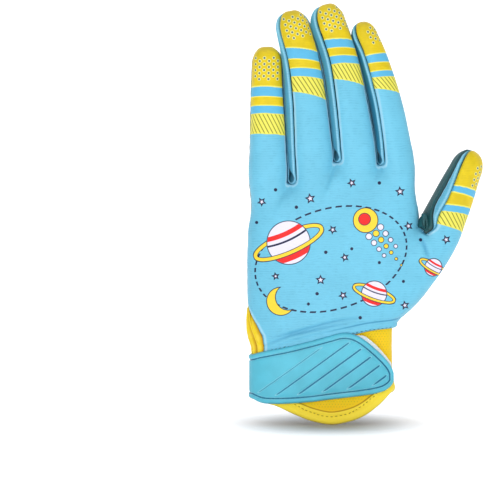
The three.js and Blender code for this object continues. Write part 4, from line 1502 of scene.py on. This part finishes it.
def stitches(name, path, out, length=1.7, gap=1.0, thick=0.3):
    """A row of short threads along a path of points, each bulging out of the cloth and diving back in."""
    marks = along_path(path)
    rings = np.linspace(0, 1, 7)
    turns = np.linspace(0, 2 * math.pi, 7)[:-1]
    n = len(turns)
    points, faces = [], []
    for start in np.arange(0.4, marks[-1] - length, length + gap):
        at = start + rings * length
        centre = np.stack([np.interp(at, marks, path[:, i]) for i in range(3)], 1)
        up = unit(np.stack([np.interp(at, marks, out[:, i]) for i in range(3)], 1))
        side = np.cross(unit(centre[-1:] - centre[:1]), up)
        arch = np.sin(rings * math.pi)[:, None]
        centre = centre + up * (arch * 0.34 - 0.2)
        radius = thick * (0.55 + 0.45 * arch)
        base = len(points) * len(rings) * n
        ring = [centre + radius * (side * math.cos(t) + up * math.sin(t)) for t in turns]
        points.append(np.stack(ring, 1).reshape(-1, 3))
        for i in range(len(rings) - 1):
            for j in range(n):
                a, b = base + i * n + j, base + i * n + (j + 1) % n
                faces.append((a, b, b + n, a + n))
        faces.append(tuple(base + j for j in reversed(range(n))))
        faces.append(tuple(base + (len(rings) - 1) * n + j for j in range(n)))
    return new_piece(name, np.concatenate(points) * MM, faces)


def on_cloth(cloth, targets):
    """The nearest points of a sheet to some points, and the sheet's directions out."""
    tree = KDTree(len(cloth.co))
    for i, co in enumerate(cloth.co):
        tree.insert(co, i)
    tree.balance()
    co, out = [], []
    for target in targets:
        near = tree.find_n(target, 4)
        weights = np.array([1 / (d + 0.05) for _, _, d in near])
        index = [i for _, i, _ in near]
        co.append((cloth.co[index] * weights[:, None]).sum(0) / weights.sum())
        out.append(cloth.out[index].mean(0))
    return np.array(co), unit(np.array(out))


class GloveColours(PropertyGroup):
    """The glove's colours"""

    sky: FloatVectorProperty(
        name="Sky", description="Ground colour of the print", subtype="COLOR",
        default=tint(112, 198, 227)[:3],
    )
    yellow: FloatVectorProperty(
        name="Yellow", description="Fingertips, cuff and gusset", subtype="COLOR",
        default=tint(237, 208, 12)[:3],
    )
    strap: FloatVectorProperty(
        name="Strap", description="Moulded wrist strap", subtype="COLOR", default=tint(86, 194, 218)[:3],
    )
    palm: FloatVectorProperty(
        name="Palm", description="Coated palm", subtype="COLOR", default=tint(22, 80, 84)[:3],
    )


class GloveSizes(PropertyGroup):
    """The thickness of each material, and the stitches' spacing"""

    wall: FloatProperty(name="Wall", description="Cloth thickness", default=1.3 * MM, unit="LENGTH")
    cuff_wall: FloatProperty(name="Cuff", description="Knit thickness", default=1.3 * MM, unit="LENGTH")
    strap_wall: FloatProperty(name="Strap", description="Rubber thickness", default=1.6 * MM, unit="LENGTH")
    tape_wall: FloatProperty(name="Tape", description="Tape thickness", default=0.5 * MM, unit="LENGTH")
    stitch_gap: FloatProperty(
        name="Stitch Gap", description="Between stitches", default=1.0 * MM, unit="LENGTH",
    )


class GloveStage(PropertyGroup):
    """The camera and the lights"""

    width: FloatProperty(name="View Width", description="Width in view", default=0.29, unit="LENGTH")
    distance: FloatProperty(name="Distance", description="Camera to glove", default=2.4, unit="LENGTH")
    rise: FloatProperty(
        name="Rise", description="Camera above level", default=math.radians(2.0), unit="ROTATION",
    )
    key: FloatProperty(name="Key Light", description="Front light's power", default=5.2, unit="POWER")


def four(colour):
    return (*colour, 1.0)


def place_piece(piece, material, node=None):
    """Gives a piece its material and body, and hides the part of the frame that it stands for."""
    piece.data.materials.append(material)
    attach(piece, "root")
    if node:
        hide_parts(node)
    return piece


class GLOVE_OT_back(Operator):
    """Build the printed back of the hand, its fingers and thumb"""

    bl_idname = "glove.back"
    bl_label = "Back of the Hand"

    def execute(self, context):
        colours, sizes = context.scene.glove_colours, context.scene.glove_sizes
        sky, yellow = four(colours.sky), four(colours.yellow)
        cloth = panel(FRONT)
        back_print(cloth)
        shape(cloth, 3)
        hem_fold(cloth)
        back_creases(cloth)
        piece = cloth.mesh("printed_back", sizes.wall / MM)
        place_piece(piece, print_cloth(sky, yellow), "back_of_hand")
        x = np.linspace(-30, 41.5, 160)
        hem = HEM_HEIGHT - HEM_DROP * smoothstep(20, 42, x)
        path, out = on_cloth(cloth, np.stack([x, wrist_front(x), slanted(hem, x) + 1.3], 1))
        row = stitches("hem_stitches", path, out, gap=sizes.stitch_gap / MM, thick=0.24)
        place_piece(row, thread("hem_thread", darker(sky, 0.42)))
        return {"FINISHED"}


class GLOVE_OT_palm(Operator):
    """Build the coated palm side"""

    bl_idname = "glove.palm"
    bl_label = "Palm"

    def execute(self, context):
        colours, sizes = context.scene.glove_colours, context.scene.glove_sizes
        cloth = shape(panel(PALM), 13)
        hem_fold(cloth)
        piece = cloth.mesh("coated_palm", sizes.wall / MM)
        place_piece(piece, grip_palm(four(colours.palm)), "palm")
        return {"FINISHED"}


class GLOVE_OT_strips(Operator):
    """Build the four side strips between the fingers and on the thumb"""

    bl_idname = "glove.strips"
    bl_label = "Side Strips"

    def execute(self, context):
        colours, sizes = context.scene.glove_colours, context.scene.glove_sizes
        material = side_cloth(four(colours.sky))
        pairs = zip(HAND_FINGERS[:-1], HAND_FINGERS[1:])
        made = [(f"strip_{a}_{b}", side_strip(a, b)) for a, b in pairs]
        made.append(("strip_thumb", thumb_strip()))
        for i, (node, cloth) in enumerate(made):
            shape(cloth, 60 + i, curl=0.55, wave=0.12, pucker=0.2, reach=0.7)
            piece = cloth.mesh(node + "_cloth", sizes.wall / MM)
            place_piece(piece, material, node)
        return {"FINISHED"}


class GLOVE_OT_cuff(Operator):
    """Build the elastic cuff with its rounded flap, and the flap's stitching"""

    bl_idname = "glove.cuff"
    bl_label = "Cuff"

    def execute(self, context):
        colours, sizes = context.scene.glove_colours, context.scene.glove_sizes
        yellow = four(colours.yellow)
        cloth = cuff_piece()
        piece = cloth.mesh("elastic_cuff", sizes.cuff_wall / MM)
        place_piece(piece, cuff_cloth(yellow), "cuff")
        x = np.linspace(-33, 41, 220)
        low = smooth_curve(x, FLAP, 1)
        rise = FLAP_STITCH * np.sqrt(1 + np.clip(np.gradient(low, x), -1.2, 1.2) ** 2)
        path, out = on_cloth(cloth, np.stack([x, -14.0 + 0 * x, low + rise], 1))
        row = stitches("flap_stitches", path, out, gap=sizes.stitch_gap / MM, thick=0.26)
        place_piece(row, thread("flap_thread", darker(yellow, 0.62)))
        return {"FINISHED"}


class GLOVE_OT_gusset(Operator):
    """Build the pleated gusset at the little-finger side"""

    bl_idname = "glove.gusset"
    bl_label = "Gusset"

    def execute(self, context):
        piece = gusset_piece().mesh("pleated_gusset", GUSSET_WALL)
        yellow = four(context.scene.glove_colours.yellow)
        place_piece(piece, gusset_cloth(yellow), "gusset")
        return {"FINISHED"}


class GLOVE_OT_strap(Operator):
    """Build the moulded wrist strap and the dashes in its groove"""

    bl_idname = "glove.strap"
    bl_label = "Wrist Strap"

    def execute(self, context):
        colours, sizes = context.scene.glove_colours, context.scene.glove_sizes
        teal = four(colours.strap)
        cloth = strap_piece()
        piece = cloth.mesh("moulded_strap", sizes.strap_wall / MM)
        place_piece(piece, strap_rubber(teal), "closure_strap")
        x = np.linspace(-38, 38, 240)
        for column, aside in ((1, GROOVE_INSET), (2, -GROOVE_INSET)):
            level = smooth_curve(x, STRAP_FRONT, column)
            rise = aside * np.sqrt(1 + np.gradient(level, x) ** 2)
            path, out = on_cloth(cloth, np.stack([x, wrist_front(x) - STRAP_OUTER, level + rise], 1))
            row = stitches(f"strap_stitches_{column}", path, out, length=1.5, gap=1.5, thick=0.24)
            place_piece(row, thread(f"strap_thread_{column}", darker(teal, 0.55)))
        return {"FINISHED"}


class GLOVE_OT_patch(Operator):
    """Build the hook tape under the strap's tab"""

    bl_idname = "glove.patch"
    bl_label = "Hook Tape"

    def execute(self, context):
        sizes = context.scene.glove_sizes
        piece = patch_piece().mesh("hook_strip", sizes.tape_wall / MM)
        place_piece(piece, hook_tape(), "hook_patch")
        return {"FINISHED"}


def area_light(name, place, aim, size, power):
    """A rectangular light at a place, turned to its aim."""
    light = bpy.data.lights.new(name, "AREA")
    light.shape, light.size, light.size_y = "RECTANGLE", size[0], size[1]
    light.energy = power
    lamp = bpy.data.objects.new(name, light)
    lamp.location = place
    lamp.rotation_euler = (Vector(aim) - Vector(place)).to_track_quat("-Z", "Y").to_euler()
    bpy.context.scene.collection.objects.link(lamp)


def studio_paper():
    """White paper with a painted shadow under the glove, where little light gets in."""
    paint = Paint("studio_paper")
    where = paint.place()
    x, y, _ = paint.parts(where)
    # The painted shadow: the paper turns greyer and stops glowing under the glove.
    shade = 1 - paint.ease(distance((x - 4) / 78, (y - 2) / 120), 0.15, 1.0)
    base = paint.mix(shade, (0.92, 0.92, 0.93, 1), (0.36, 0.36, 0.37, 1))
    glow = paint.mix(shade, (1, 1, 1, 1), (0, 0, 0, 1))
    constants = {"Emission Color": glow, "Emission Strength": 0.5}
    return paint.finish(base, 0.6, paint.grain(where, 1.0), 0.01, constants)


# The stage, in metres: where the lights and the camera aim, and each light's place, aim, size and share of
# the key light's power.
CENTRE, VIEW_AIM = (0.02, 0.0, 0.1), (-0.0418, -0.008, 0.087)
LIGHTS = {
    "key": ((-0.35, -1.5, 1.0), CENTRE, (1.3, 1.3), 0.82),
    "fill": ((0.9, -1.3, 0.35), CENTRE, (0.9, 1.2), 0.38),
    "low": ((-0.1, -1.5, 0.16), (0.0, 0.0, 0.0), (1.6, 0.25), 1.25),
    "top": ((0.0, -0.1, 1.5), CENTRE, (1.2, 0.8), 0.55),
    "backdrop_light": ((0.0, 0.9, 1.6), (0.0, 2.8, 0.4), (2.5, 0.6), 3.0),
}
FLOOR_GAP = 0.0008
FLOOR_HALF, FLOOR_FRONT, FLOOR_BACK, BEND, PAPER_TOP = 6.0, -5.0, 2.4, 0.7, 4.5
SENSOR = 36.0  # millimetres


class GLOVE_OT_stage(Operator):
    """Set up the pale floor, the backdrop, soft lights and the camera"""

    bl_idname = "glove.stage"
    bl_label = "Stage"

    def execute(self, context):
        settings = context.scene.glove_stage
        bends = [(FLOOR_BACK + BEND * math.sin(t), BEND - BEND * math.cos(t))
                 for t in np.linspace(0.1, math.pi / 2, 16)]
        profile = [(FLOOR_FRONT, 0.0), (FLOOR_BACK, 0.0), *bends, (FLOOR_BACK + BEND, PAPER_TOP)]
        floor = CAD_LOW[2] - FLOOR_GAP
        points = [(x, y, floor + z) for y, z in profile for x in (-FLOOR_HALF, FLOOR_HALF)]
        faces = [(2 * i, 2 * i + 1, 2 * i + 3, 2 * i + 2) for i in range(len(profile) - 1)]
        backdrop = new_piece("backdrop", np.array(points), faces)
        backdrop.data.materials.append(studio_paper())

        for name, (place, aim, size, share) in LIGHTS.items():
            area_light(name, place, aim, size, settings.key * share)
        world = bpy.data.worlds.new("studio")
        world.use_nodes = True
        background = world.node_tree.nodes["Background"]
        background.inputs["Color"].default_value = (0.95, 0.97, 1.0, 1)
        background.inputs["Strength"].default_value = 0.42
        context.scene.world = world
        context.scene.view_settings.view_transform = "Standard"

        data = bpy.data.cameras.new("camera")
        data.sensor_width = SENSOR
        data.lens = SENSOR * settings.distance / settings.width
        data.clip_end = 20.0
        camera = bpy.data.objects.new("camera", data)
        back = Vector((0, -math.cos(settings.rise), math.sin(settings.rise)))
        camera.location = Vector(VIEW_AIM) + back * settings.distance
        camera.rotation_euler = (-back).to_track_quat("-Z", "Y").to_euler()
        context.scene.collection.objects.link(camera)
        context.scene.camera = camera
        return {"FINISHED"}


OPERATORS = (
    GLOVE_OT_back, GLOVE_OT_palm, GLOVE_OT_strips, GLOVE_OT_cuff, GLOVE_OT_gusset, GLOVE_OT_strap,
    GLOVE_OT_patch, GLOVE_OT_stage,
)


class GLOVE_PT_panel(Panel):
    """The glove's settings and the buttons that build it"""

    bl_label = "Football Glove"
    bl_idname = "GLOVE_PT_panel"
    bl_space_type = "VIEW_3D"
    bl_region_type = "UI"
    bl_category = "Glove"

    def draw(self, context):
        layout = self.layout
        for group in (context.scene.glove_colours, context.scene.glove_sizes, context.scene.glove_stage):
            box = layout.box()
            for name in group.__annotations__:
                box.prop(group, name)
        for operator in OPERATORS:
            layout.operator(operator.bl_idname)


GROUPS = {"glove_colours": GloveColours, "glove_sizes": GloveSizes, "glove_stage": GloveStage}


def register():
    for item in (*GROUPS.values(), *OPERATORS, GLOVE_PT_panel):
        bpy.utils.register_class(item)
    for name, group in GROUPS.items():
        setattr(bpy.types.Scene, name, PointerProperty(type=group))


def unregister():
    for name in GROUPS:
        delattr(bpy.types.Scene, name)
    for item in (GLOVE_PT_panel, *reversed(OPERATORS), *reversed(GROUPS.values())):
        bpy.utils.unregister_class(item)


def main():
    """Builds the stage and every piece."""
    register()
    bpy.ops.glove.stage()
    bpy.ops.glove.back()
    bpy.ops.glove.palm()
    bpy.ops.glove.strips()
    bpy.ops.glove.cuff()
    bpy.ops.glove.gusset()
    bpy.ops.glove.strap()
    bpy.ops.glove.patch()


if __name__ == "__main__":
    main()
